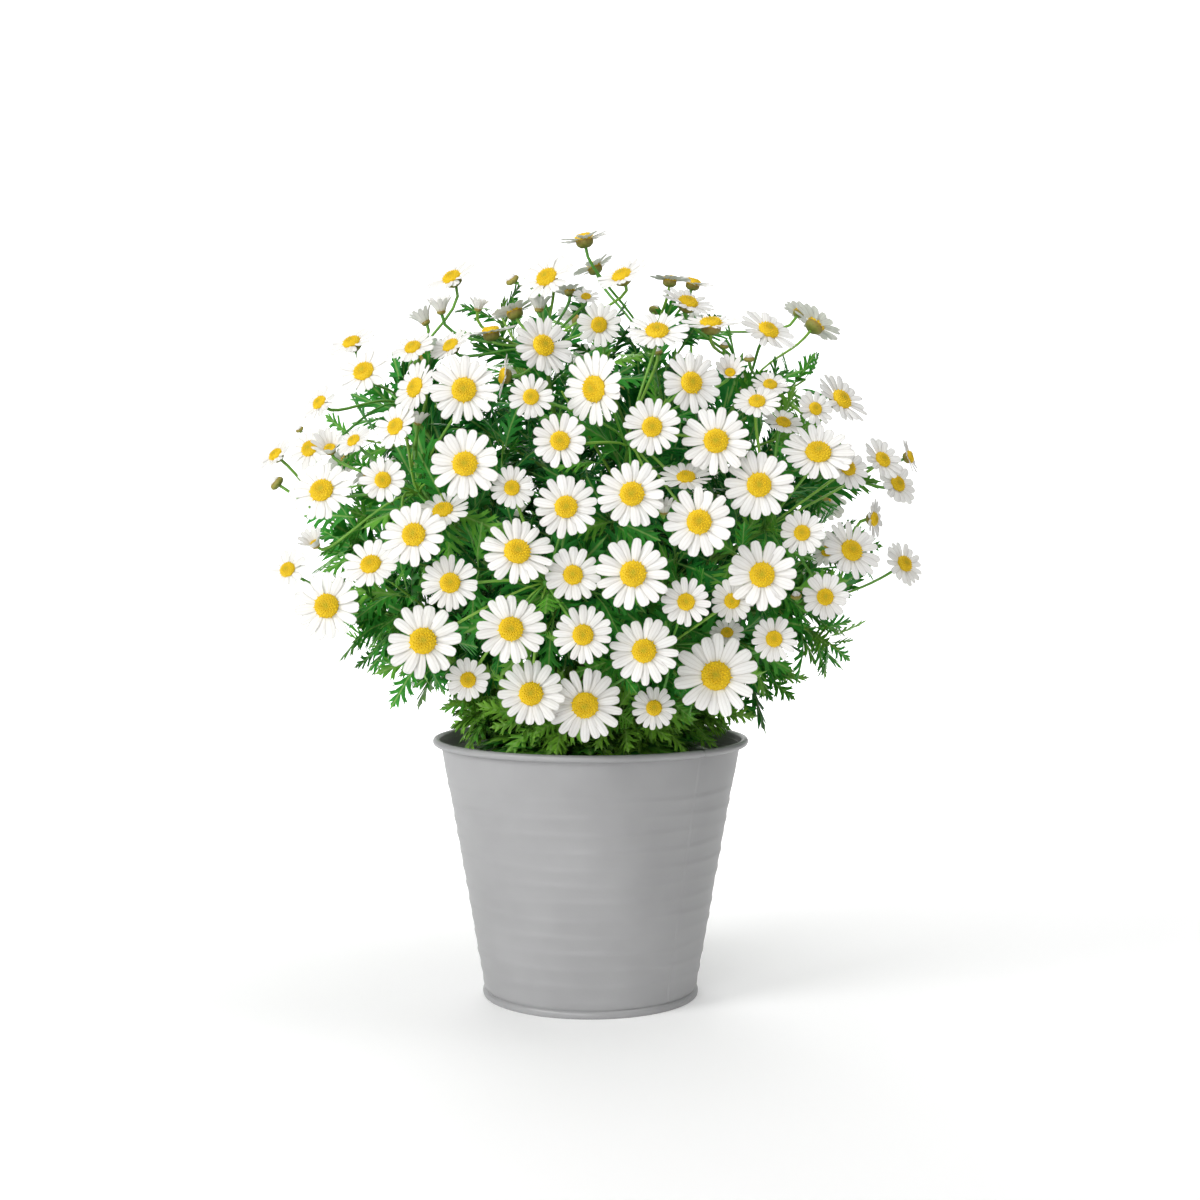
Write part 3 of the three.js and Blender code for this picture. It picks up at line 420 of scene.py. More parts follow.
@dataclass
class Flower:
    """One flower's place in the bush, in mm."""

    kind: Kind
    at: Array
    facing: Array
    inward: Array
    radius: float
    index: int = 0
    root: Array | None = None
    route: list[Array] = field(default_factory=list)

    def cup_foot(self) -> Array:
        """Where the stalk meets the cup."""
        return self.at - CUP_DEPTH * self.radius * self.facing

    def outline(self) -> Array:
        """The points that stand for the flower where it is tried for room.

        Returns:
            Points on the petal tips, on the petals, and at the middle and foot of the cup.
        """
        start = square_to(self.facing, UP)
        rim = circle(self.at, self.facing, start, self.radius, 16)
        inner = circle(self.at, self.facing, start, self.radius * 0.6, 8)
        return np.vstack([rim, inner, self.at, self.cup_foot()])

    def about_axis(self, points: Array) -> tuple[Array, Array]:
        """How points lie about the flower's axis.

        Args:
            points: (..., 3) places in mm.

        Returns:
            How far each lies off the axis, and how high above the middle.
        """
        offset = points - self.at
        height = offset @ self.facing
        return np.sqrt(np.maximum(0, np.sum(offset * offset, -1) - height * height)), height

    def holds(self, points: Array, margin: float) -> Array:
        """Whether points lie in the flat room of the petals, or in that of the disc and cup.

        Args:
            points: (..., 3) places in mm.
            margin: how much wider the room is taken, in mm.

        Returns:
            One truth value per point.
        """
        reach, height = self.about_axis(points)
        petals = reach < self.radius + margin
        petals &= np.abs(height - PETAL_LEVEL) < PETAL_ROOM + margin
        drum = (
            (reach < self.radius * DRUM_RADIUS + margin)
            & (height > -self.radius * DRUM_BELOW - margin)
            & (height < self.radius * DRUM_ABOVE + margin)
        )
        return petals | drum

    def hidden_by(self, points: Array) -> Array:
        """Whether points lie just in front of the petals, where a leaf would hide them."""
        reach, height = self.about_axis(points)
        return (height > 0) & (height < HIDING_HEIGHT) & (reach < self.radius * HIDING_SHARE)


@dataclass
class Shoot:
    """One leafy shoot: where it starts, where its tip is, and the flowers that it carries."""

    origin: Array
    direction: Array
    start: float
    reach: float
    flowers: list[Flower] = field(default_factory=list)

    @property
    def tip(self) -> Array:
        """The end of the leafy stem, where the stalks part."""
        return self.origin + self.direction * self.reach

    @property
    def low(self) -> bool:
        """Whether it is one of the short shoots in the pot's mouth."""
        return self.origin is COLLAR


@dataclass
class Dome:
    """The round outline of the bush: |x/a|^p + |y/b|^p + |z/c|^p = 1, with its own c below."""

    half_width: float = 205.0
    half_depth: float = 190.0
    middle: float = 300.0
    rise: float = 180.0
    drop: float = 125.0
    power: float = 2.2

    def level(self, points: Array) -> Array:
        """How far points lie out from the middle.

        Args:
            points: (..., 3) places in mm.

        Returns:
            The left side of the dome's formula: 1 is on the dome, less is inside.
        """
        up = points[..., 2] - self.middle
        share = np.abs(up) / np.where(up > 0, self.rise, self.drop)
        across = np.abs(points[..., 0] / self.half_width) ** self.power
        deep = np.abs(points[..., 1] / self.half_depth) ** self.power
        return across + deep + share**self.power

    def reach(self, origin: Array, direction: Array) -> float:
        """The distance from a point inside to the dome, by halving.

        Args:
            origin: the point, in mm.
            direction: a unit vector.

        Returns:
            The distance in mm.
        """
        near, far = 0.0, 500.0
        for _ in range(40):
            middle = (near + far) / 2
            if self.level(origin + direction * middle) < 1:
                near = middle
            else:
                far = middle
        return near

    def depth(self, column: float, row: float) -> float:
        """The Y at which the view through a pixel meets the dome's near side.

        Args:
            column: the pixel's column in the photograph.
            row: its row.

        Returns:
            The Y in mm, or 0 past the dome's edge.
        """
        depth = 0.0
        for _ in range(12):
            point = seen_at(column, row, depth)
            left = 1 - float(self.level(np.array([point[0], 0.0, point[2]])))
            depth = -self.half_depth * left ** (1 / self.power) if left > 0 else 0.0
        return depth


def seen_at(column: float, row: float, depth: float) -> Array:
    """The point seen at a pixel of the photograph, at a depth along Y."""
    scale = MM_PER_PIXEL * (EYE_DISTANCE + depth) / EYE_DISTANCE
    return np.array(
        [(column - AXIS_COLUMN) * scale, depth, EYE_HEIGHT - (row - EYE_LINE) * scale]
    )


@dataclass
class BushPlan:
    """Where every shoot, flower and stalk of the bush is, by the rules of the CAD solids."""

    dome: Dome = field(default_factory=Dome)
    high_shoots: int = 22
    lowest_rise: float = -0.1
    first_turn: float = 0.3
    low_shoots: int = 7
    low_rise: float = 0.26
    low_reach: float = 68.0
    stalk_space: float = 52.0
    near_depth: float = 70.0
    flank_reach: float = 110.0
    flank_turn: float = 40.0
    turn_jitter: float = 7.0
    height_jitter: float = 8.0
    outward_share: float = 0.55
    push_step: float = 3.0
    most_pushes: int = 16
    detours: tuple[float, ...] = (7.0, 12.0)
    straight: float = 0.55
    probes: int = 12
    clash_reach: float = 12.0
    clash_margin: float = 2.0
    root_ring: float = 0.66
    shoots: list[Shoot] = field(default_factory=list)
    flowers: list[Flower] = field(default_factory=list)

    def grow(self) -> "BushPlan":
        """Places the shoots and flowers, and routes the stalks between them.

        Returns:
            This plan, filled in.
        """
        self.shoots = self.all_shoots()
        self.flowers = self.settled(self.all_flowers())
        for index, flower in enumerate(self.flowers):
            flower.index = index
            foot = flower.cup_foot()
            nearest = min(self.shoots, key=lambda s: float(np.linalg.norm(s.tip - foot)))
            nearest.flowers.append(flower)
        for shoot in self.shoots:
            self.set_roots(shoot)
        self.bend_stalks()
        return self

    def from_photo(self, row: tuple[float, ...], kind: Kind) -> Flower:
        """A flower from its row of the tables.

        Args:
            row: column, row, width, tilt, lean and mm behind the dome.
            kind: how far it has opened.

        Returns:
            The flower, where the view through its pixel meets the dome.
        """
        column, line, width, tilt, lean, behind = row
        depth = self.dome.depth(column, line) + behind
        at = seen_at(column, line, depth)
        to_eye = unit(np.array([0.0, -EYE_DISTANCE, EYE_HEIGHT]) - at)
        up = square_to(to_eye, UP)
        right = np.cross(up, to_eye)
        tip, turn = math.radians(tilt), math.radians(lean)
        facing = (
            to_eye * math.cos(tip)
            + up * math.sin(tip) * math.cos(turn)
            + right * math.sin(tip) * math.sin(turn)
        )
        width_mm = width * MM_PER_PIXEL * (EYE_DISTANCE + depth) / EYE_DISTANCE
        return Flower(kind, at, facing, -to_eye, width_mm / 2)

    def turned(self, flower: Flower, degrees: float, index: int) -> Flower:
        """A near flower turned about the pot's axis, facing more outward.

        Args:
            flower: one of the near side.
            degrees: how far it is turned.
            index: its number, for the draws.

        Returns:
            A flower of the hidden side.
        """
        angle = math.radians(degrees + float(spread(index, 1, self.turn_jitter)))
        cos, sin = math.cos(angle), math.sin(angle)
        turn = np.array([[cos, -sin, 0], [sin, cos, 0], [0, 0, 1]])
        at = turn @ flower.at
        at[2] += float(spread(index, 2, self.height_jitter))
        outward = unit(at - CROWN)
        facing = turn @ flower.facing
        facing = unit(facing + (outward - facing) * self.outward_share)
        return Flower(flower.kind, at, facing, -facing, flower.radius)

    def all_flowers(self) -> list[Flower]:
        """Every flower of the bush, where it would like to stand.

        Returns:
            Those of the photograph, then every second one again, turned to the back or the side.
        """
        tables = ((OPEN_FLOWERS, Kind.OPEN), (HALF_OPEN_FLOWERS, Kind.HALF), (BUDS, Kind.BUD))
        seen = [self.from_photo(row, kind) for table, kind in tables for row in table]
        hidden = []
        for index, flower in enumerate(seen):
            x, y = flower.at[:2]
            if index % 2:
                continue
            if y < -self.near_depth:
                hidden.append(self.turned(flower, 180, index))
            elif abs(x) > self.flank_reach:
                hidden.append(self.turned(flower, math.copysign(self.flank_turn, x), index))
        return seen + hidden

    def settled(self, flowers: list[Flower]) -> list[Flower]:
        """Pushes each flower in from where it is seen until it is clear of those before it.

        Args:
            flowers: all of them, the first of which stay where they are.

        Returns:
            The same flowers in the same order.
        """
        placed: list[Flower] = []
        for flower in flowers:
            for _ in range(self.most_pushes):
                if not any(self.clash(flower, other) for other in placed):
                    break
                flower.at = flower.at + flower.inward * self.push_step
            placed.append(flower)
        return placed

    def clash(self, flower: Flower, other: Flower) -> bool:
        """Whether two flowers reach into each other's room.

        Args:
            flower: the one that is being placed.
            other: one that has its place.

        Returns:
            Whether a point of either lies in the room of the other.
        """
        far = flower.radius + other.radius + self.clash_reach
        if np.linalg.norm(flower.at - other.at) > far:
            return False
        pairs = ((flower, other), (other, flower))
        return any(a.holds(b.outline(), self.clash_margin).any() for a, b in pairs)

    def all_shoots(self) -> list[Shoot]:
        """All shoots of the bush.

        Returns:
            The high ones, spread evenly from the crown, and the low ring from the collar.
        """
        shoots = []
        for i in range(self.high_shoots):
            rise = self.lowest_rise + (1 - self.lowest_rise) * (i + 0.5) / self.high_shoots
            direction = self.heading(rise, i * GOLDEN_TURN + self.first_turn)
            reach = self.dome.reach(CROWN, direction) - self.stalk_space
            shoots.append(Shoot(CROWN, direction, CROWN_RADIUS + SEAT_GAP, reach))
        for i in range(self.low_shoots):
            angle = 2 * math.pi * (i + 0.75) / self.low_shoots
            direction = self.heading(self.low_rise, angle)
            shoots.append(Shoot(COLLAR, direction, COLLAR_RADIUS + SEAT_GAP, self.low_reach))
        return shoots

    @staticmethod
    def heading(rise: float, angle: float) -> Array:
        """The unit vector with a height and a turn about +Z."""
        flat = math.sqrt(1 - rise * rise)
        return np.array([flat * math.cos(angle), flat * math.sin(angle), rise])

    def set_roots(self, shoot: Shoot) -> None:
        """Sets the stalks' roots on a ring in the knot, in the order in which they stand.

        Args:
            shoot: the shoot that carries them.
        """
        start = square_to(shoot.direction, UP)
        side = np.cross(shoot.direction, start)

        def turn_of(flower: Flower) -> float:
            """The way round the shoot in which a flower lies."""
            offset = flower.cup_foot() - shoot.tip
            return math.atan2(float(offset @ side), float(offset @ start))

        shoot.flowers.sort(key=turn_of)
        count = len(shoot.flowers)
        centre = shoot.tip + shoot.direction * (SEAT_GAP + KNOT_LENGTH - 1)
        for order, flower in enumerate(shoot.flowers):
            turn = turn_of(shoot.flowers[0]) + 2 * math.pi * order / count if count > 1 else 0.0
            flower.root = centre + self.root_ring * KNOT_RADIUS * (
                start * math.cos(turn) + side * math.sin(turn)
            )

    def routes(self, shoot: Shoot, flower: Flower) -> list[list[Array]]:
        """The ways that a stalk may take: straight, by its natural bend, or round to one side.

        Args:
            shoot: the shoot that it grows on.
            flower: the flower that it carries.

        Returns:
            Each way as its corners, from the root to the cup.
        """
        root, foot = flower.root, flower.cup_foot()
        chord = foot - root
        ease = 0.3 * float(np.linalg.norm(chord))
        middle = (root + foot) / 2 + 0.375 * ease * (shoot.direction - flower.facing)
        run = unit(chord)
        start = square_to(run, UP)
        bends = [middle]
        for size in self.detours:
            bends.extend(circle(middle, run, start, size, 6))
        ways = [[root, foot]] if float(run @ flower.facing) > self.straight else []
        return ways + [[root, bend, foot] for bend in bends]

    def points_along(self, route: list[Array]) -> Array:
        """Points at even steps along a route, without its ends.

        Args:
            route: its corners, from the root to the cup.

        Returns:
            (points, 3) places in mm.
        """
        parts = len(route) - 1
        steps = round(self.probes / parts)
        shares = (np.arange(steps) + 1) / steps
        points = []
        for part in range(parts):
            along = (part + shares) / parts
            kept = shares[(along > 0.1) & (along < 0.95)][:, None]
            points.append(route[part] + (route[part + 1] - route[part]) * kept)
        return np.vstack(points)

    def bend_stalks(self) -> None:
        """Gives each stalk the way that meets the fewest flowers and other shoots' stalks."""
        taken: list[tuple[Shoot, Array]] = []
        for shoot in self.shoots:
            for flower in shoot.flowers:
                best, fewest = None, math.inf
                for route in self.routes(shoot, flower):
                    points = self.points_along(route)
                    hit = np.zeros(len(points), bool)
                    for other in self.flowers:
                        if other is not flower:
                            hit |= other.holds(points, STALK_RADIUS + 0.6)
                    for owner, near in taken:
                        if owner is not shoot:
                            gaps = np.linalg.norm(points[:, None] - near[None], axis=-1)
                            hit |= (gaps < 4 * STALK_RADIUS).any(1)
                    if hit.sum() < fewest:
                        best, fewest = route, int(hit.sum())
                flower.route = best
                taken.append((shoot, self.points_along(best)))


# ---------------------------------------------------------------- finishes


# A Mix node of colours takes its share at socket 0 and its two colours at 6 and 7, and gives the
# result at 2. A Map Range node takes its value at 0, and its sockets 1 to 4 are where the value
# starts and ends and what it gives there.
MIX_SHARE, MIX_FIRST, MIX_SECOND, MIX_RESULT = 0, 6, 7, 2


def add_node(tree: Tree, kind: str, settings: dict | None = None,
             links: dict | None = None, stops: Stops = (),
             **properties: object) -> bpy.types.NodeOutputs:
    """Adds one node to a material.

    Args:
        tree: the material's node tree.
        kind: the node's type name, without the words ShaderNode.
        settings: values for its unlinked inputs, by name or number.
        links: outputs of other nodes for its inputs, by name or number.
        stops: the places and hex colours of its ramp, if it is one.
        properties: the node's own properties, such as its operation.

    Returns:
        The new node's outputs.
    """
    node = tree.nodes.new(f"ShaderNode{kind}")
    for name, value in properties.items():
        setattr(node, name, value)
    for name, value in (settings or {}).items():
        node.inputs[name].default_value = value
    for name, output in (links or {}).items():
        tree.links.new(output, node.inputs[name])
    for number, (position, colour) in enumerate(stops):
        points = node.color_ramp.elements
        point = points[number] if number < len(points) else points.new(1.0)
        point.position = position
        point.color = linear(colour)
    return node.outputs


def grain(size_mm: float, detail: float = 2.0) -> dict[str, float]:
    """The settings of a noise whose soft spots have about the given size, from places in metres."""
    return {"Scale": 1 / (size_mm * METRES), "Detail": detail}


@dataclass(frozen=True)
class Finish:
    """What every finish has: a name, a roughness, and the refraction of its clear surface."""

    name: str
    roughness: float
    ior: float = 1.45

    def material(self) -> bpy.types.Material:
        """Makes the Blender material, the first time that it is asked for.

        Returns:
            The material.
        """
        known = bpy.data.materials.get(self.name)
        if known:
            return known
        material = bpy.data.materials.new(self.name)
        material.use_nodes = True
        tree = material.node_tree
        tree.nodes.clear()
        settings = {"Roughness": self.roughness, "IOR": self.ior, **self.even()}
        shader = add_node(tree, "BsdfPrincipled", settings, self.dress(tree))
        add_node(tree, "OutputMaterial", links={"Surface": shader[0]})
        return material

    def even(self) -> dict[str, object]:
        """Further values of the shader that are the same all over."""
        return {}

    def dress(self, tree: Tree) -> dict[str, Socket]:
        """Lays out the colour and relief of this finish.

        Args:
            tree: the node tree.

        Returns:
            What the shader's inputs are linked to, by name.
        """
        raise NotImplementedError

    @staticmethod
    def tinted(tree: Tree, colour: Socket,
               *tints: tuple[Socket, tuple[float, ...], str]) -> Socket:
        """Lays thin tints over a colour.

        Args:
            tree: the node tree.
            colour: the colour below.
            tints: for each, the value that it follows, where that value starts and ends and how
                much of the tint shows there, and its hex colour.

        Returns:
            The colour with its tints.
        """
        for value, ranged, tint in tints:
            share = add_node(tree, "MapRange", dict(enumerate(ranged, 1)), {0: value})[0]
            colour = add_node(
                tree, "Mix", {MIX_SECOND: linear(tint)}, {MIX_SHARE: share, MIX_FIRST: colour},
                data_type="RGBA",
            )[MIX_RESULT]
        return colour


@dataclass(frozen=True)
class PetalFinish(Finish):
    """Ray petals: bright white, matt like thin paper, with fine lengthwise streaks.

    A little light soaks in and spreads, so that their shaded sides stay soft. Tone is 0 to 0.5 on
    the upper face and 1 on the underside, which is a little greyer.
    """

    white: str = "#f1f0ed"
    shaded: str = "#e3e1dd"
    underside: str = "#ecebe4"
    root: str = "#e3e6bd"
    root_length: float = 0.22
    root_share: float = 0.55
    # The grey of the painted shade in the grooves and of the painted shadow along the edges
    line: str = "#a79f93"
    groove_count: float = 3.0
    groove_shade_share: float = 0.16
    edge_shadow_width: float = 0.1
    edge_shadow_share: float = 0.5
    streak_count: float = 9.0
    streak_mm: float = 0.08
    soak_share: float = 0.3
    soak_mm: float = 2.0

    def even(self) -> dict[str, object]:
        """How light soaks into the petal."""
        return {
            "Subsurface Weight": self.soak_share,
            "Subsurface Radius": (1.0, 1.0, 0.9),
            "Subsurface Scale": self.soak_mm * METRES,
        }

    def dress(self, tree: Tree) -> dict[str, Socket]:
        """White over the blade, greener at the root, with lines of painted shade and bumped streaks
        that run along it.

        Args:
            tree: the node tree.

        Returns:
            What the shader's inputs are linked to, by name.
        """
        uv = add_node(tree, "TexCoord")["UV"]
        across, along, _ = add_node(tree, "SeparateXYZ", links={0: uv})
        tone = add_node(tree, "Attribute", attribute_name="tone")["Fac"]
        stops = ((0.0, self.white), (0.5, self.shaded), (0.75, self.underside))
        colour = add_node(tree, "ValToRGB", links={0: tone}, stops=stops)[0]
        # Painted shade: faint grey lines lie in the grooves, where the wave is high, and a painted
        # shadow lies along both edges, where the petals overlap.
        waves = [
            add_node(tree, "Math", {1: count * 2 * math.pi}, {0: across}, operation="MULTIPLY")[0]
            for count in (self.groove_count, self.streak_count)
        ]
        groove_shade = add_node(tree, "Math", links={0: waves[0]}, operation="COSINE")[0]
        middle = add_node(tree, "Math", {1: 0.5}, {0: across}, operation="SUBTRACT")[0]
        away = add_node(tree, "Math", links={0: middle}, operation="ABSOLUTE")[0]
        colour = self.tinted(
            tree, colour, (groove_shade, (0.3, 1.0, 0.0, self.groove_shade_share), self.line),
            (away, (0.5 - self.edge_shadow_width, 0.5, 0.0, self.edge_shadow_share), self.line),
            (along, (0.0, self.root_length, self.root_share, 0.0), self.root),
        )
        streaks = add_node(tree, "Math", links={0: waves[1]}, operation="SINE")[0]
        relief = {"Strength": 0.5, "Distance": self.streak_mm * METRES}
        bump = add_node(tree, "Bump", relief, {"Height": streaks})[0]
        return {"Base Color": colour, "Normal": bump}


@dataclass(frozen=True)
class ToneFinish(Finish):
    """A matt plant surface whose colour follows the tone, with soft darker spots in it.

    Tone runs through the stops.
    """

    stops: Stops = ()
    spot_mm: float = 2.0
    spot_share: float = 0.35
    spot_colour: str = "#3a2c12"
    bump_mm: float = 0.1

    def dress(self, tree: Tree) -> dict[str, Socket]:
        """The tone's colour, spotted and finely bumped.

        Args:
            tree: the node tree.

        Returns:
            What the shader's inputs are linked to, by name.
        """
        place = add_node(tree, "TexCoord")["Object"]
        spots = add_node(tree, "TexNoise", grain(self.spot_mm), {"Vector": place})["Fac"]
        tone = add_node(tree, "Attribute", attribute_name="tone")["Fac"]
        base = add_node(tree, "ValToRGB", links={0: tone}, stops=self.stops)[0]
        spotted = (spots, (0.5, 0.75, 0.0, self.spot_share), self.spot_colour)
        colour = self.tinted(tree, base, spotted)
        relief = {"Strength": 1.0, "Distance": self.bump_mm * METRES}
        bump = add_node(tree, "Bump", relief, {"Height": spots})[0]
        return {"Base Color": colour, "Normal": bump}


@dataclass(frozen=True)
class LeafFinish(Finish):
    """Leaves: green with a waxy shine, a pale rib down the middle and faint side veins.

    Tone is 0 for the deepest green and 1 for the freshest.
    """

    stops: Stops = ()
    patch: str = "#07491c"
    patch_mm: float = 9.0
    patch_share: float = 0.4
    rib: str = "#7fa656"
    rib_share: float = 0.75
    vein_count: float = 7.0
    vein_mm: float = 0.35
    specular: float = 0.2

    def even(self) -> dict[str, object]:
        """The weak shine of the wax."""
        return {"Specular IOR Level": self.specular}

    def dress(self, tree: Tree) -> dict[str, Socket]:
        """Green by tone with soft patches, and ribs drawn from the distance off the middle.

        Args:
            tree: the node tree.

        Returns:
            What the shader's inputs are linked to, by name.
        """
        place = add_node(tree, "TexCoord")
        across, along, _ = add_node(tree, "SeparateXYZ", links={0: place["UV"]})
        on_object = {"Vector": place["Object"]}
        patches = add_node(tree, "TexNoise", grain(self.patch_mm), on_object)["Fac"]
        tone = add_node(tree, "Attribute", attribute_name="tone")["Fac"]
        colour = add_node(tree, "ValToRGB", links={0: tone}, stops=self.stops)[0]
        middle = add_node(tree, "Math", {1: 0.5}, {0: across}, operation="SUBTRACT")[0]
        away = add_node(tree, "Math", links={0: middle}, operation="ABSOLUTE")[0]
        colour = self.tinted(
            tree, colour, (patches, (0.4, 0.7, 0.0, self.patch_share), self.patch),
            (away, (0.004, 0.022, self.rib_share, 0.0), self.rib),
        )
        # The side veins run out and forward: they follow v less the distance off the rib.
        slant = add_node(tree, "Math", links={0: along, 1: away}, operation="SUBTRACT")[0]
        turns = add_node(
            tree, "Math", {1: self.vein_count * 2 * math.pi}, {0: slant}, operation="MULTIPLY"
        )[0]
        veins = add_node(tree, "Math", links={0: turns}, operation="SINE")[0]
        relief = {"Strength": 0.6, "Distance": self.vein_mm * METRES}
        bump = add_node(tree, "Bump", relief, {"Height": veins})[0]
        return {"Base Color": colour, "Normal": bump}


@dataclass(frozen=True)
class SteelFinish(Finish):
    """Dull grey coated steel: an even coat that shades softly round the pot and off the ribs, with
    the faint cloudy patches of a dipped coat and a very fine orange-peel skin."""

    dark: str = "#959596"
    light: str = "#9f9fa0"
    metallic: float = 0.08
    cloud_mm: float = 55.0
    # The skin's grain is drawn at 1.6 mm, coarser than the real one, so that it can be seen.
    skin_mm: float = 1.6
    skin_depth_mm: float = 0.12

    def even(self) -> dict[str, object]:
        """How much of the bare metal shines through."""
        return {"Metallic": self.metallic}

    def dress(self, tree: Tree) -> dict[str, Socket]:
        """Two greys in cloudy patches, rougher where they are lighter, and a fine skin.

        Args:
            tree: the node tree.

        Returns:
            What the shader's inputs are linked to, by name.
        """
        place = add_node(tree, "TexCoord")["Object"]
        clouds, skin = (
            add_node(tree, "TexNoise", grain(size, 3.0), {"Vector": place})["Fac"]
            for size in (self.cloud_mm, self.skin_mm)
        )
        stops = ((0.3, self.dark), (0.7, self.light))
        colour = add_node(tree, "ValToRGB", links={0: clouds}, stops=stops)[0]
        ranged = {1: 0.3, 2: 0.7, 3: self.roughness - 0.05, 4: self.roughness + 0.06}
        rough = add_node(tree, "MapRange", ranged, {0: clouds})[0]
        relief = {"Strength": 0.5, "Distance": self.skin_depth_mm * METRES}
        bump = add_node(tree, "Bump", relief, {"Height": skin})[0]
        return {"Base Color": colour, "Roughness": rough, "Normal": bump}


@dataclass(frozen=True)
class EarthFinish(Finish):
    """Potting soil and bark: dark fibres and crumbs, matt, with pale specks."""

    dark: str = "#1e1712"
    light: str = "#4a3a2c"
    speck: str = "#7d6a52"
    speck_share: float = 0.8
    grain_mm: float = 3.0
    stretch: float = 1.0

    def dress(self, tree: Tree) -> dict[str, Socket]:
        """Crumbs of two browns, with a few pale specks, bumped by the same crumbs.

        Args:
            tree: the node tree.

        Returns:
            What the shader's inputs are linked to, by name.
        """
        place = add_node(tree, "TexCoord")["Object"]
        stretched = {"Scale": (1.0, 1.0, 1 / self.stretch)}
        place = add_node(tree, "Mapping", stretched, {"Vector": place})[0]
        crumbs, specks = (
            add_node(tree, "TexNoise", grain(size, detail), {"Vector": place})["Fac"]
            for size, detail in ((self.grain_mm, 5.0), (self.grain_mm * 0.6, 2.0))
        )
        stops = ((0.35, self.dark), (0.65, self.light))
        base = add_node(tree, "ValToRGB", links={0: crumbs}, stops=stops)[0]
        colour = self.tinted(
            tree, base, (specks, (0.66, 0.7, 0.0, self.speck_share), self.speck)
        )
        relief = {"Strength": 1.0, "Distance": self.grain_mm * 0.35 * METRES}
        bump = add_node(tree, "Bump", relief, {"Height": crumbs})[0]
        return {"Base Color": colour, "Normal": bump}


PETAL = PetalFinish("marguerite_petal", 0.55)
# Packed florets: matt, greenish at the youngest, warm yellow outside, with darker amber spots at
# random as painted shade in the gaps between them
DISC = ToneFinish(
    "marguerite_disc", 0.7,
    stops=((0.0, "#9aa010"), (0.35, "#c6a606"), (0.7, "#dab604"), (1.0, "#e4c60e")),
    spot_mm=1.5, spot_share=0.25, spot_colour="#a87c00",
)
# Dry papery bracts over green: a dull olive with brown spots
CUP = ToneFinish(
    "flower_cup", 0.6,
    stops=((0.0, "#6b7a32"), (0.5, "#8a8a3c"), (1.0, "#a07c3a")),
    spot_mm=1.2, spot_share=0.5, spot_colour="#5c4420",
)
# Smooth young stalks: fresh green with a soft sheen
STALK = ToneFinish(
    "flower_stalk", 0.45,
    stops=((0.0, "#3f8030"), (0.5, "#5c9934"), (1.0, "#80ad3c")),
    spot_mm=4.0, spot_share=0.3, spot_colour="#2f6339", bump_mm=0.05,
)
LEAF = LeafFinish(
    "marguerite_leaf", 0.45,
    stops=((0.0, "#0d5a22"), (0.35, "#197327"), (0.7, "#38902a"), (1.0, "#78b038")),
)
# Older stems: paler green, duller, and faintly ribbed
STEM = ToneFinish(
    "green_stem", 0.5,
    stops=((0.0, "#4f8030"), (0.5, "#6c9c36"), (1.0, "#8fb343")),
    spot_mm=5.0, spot_share=0.35, spot_colour="#4c5c30", bump_mm=0.1,
)
STEEL = SteelFinish("coated_steel", 0.42)
# The inside of the wall: the same coated steel made lighter and more matt, as painted light where
# the foliage shades the pot's mouth
PAINTED_LIGHT_INSIDE = SteelFinish("inside_steel_painted_light", 0.5, dark="#c6c6c9", light="#d6d6d8")
SOIL = EarthFinish("potting_soil", 0.95)
BARK = EarthFinish(
    "woody_bark", 0.85, dark="#4c4030", light="#85735a", speck="#a8987c", grain_mm=2.2, stretch=5.0
)


# ---------------------------------------------------------------- flowers


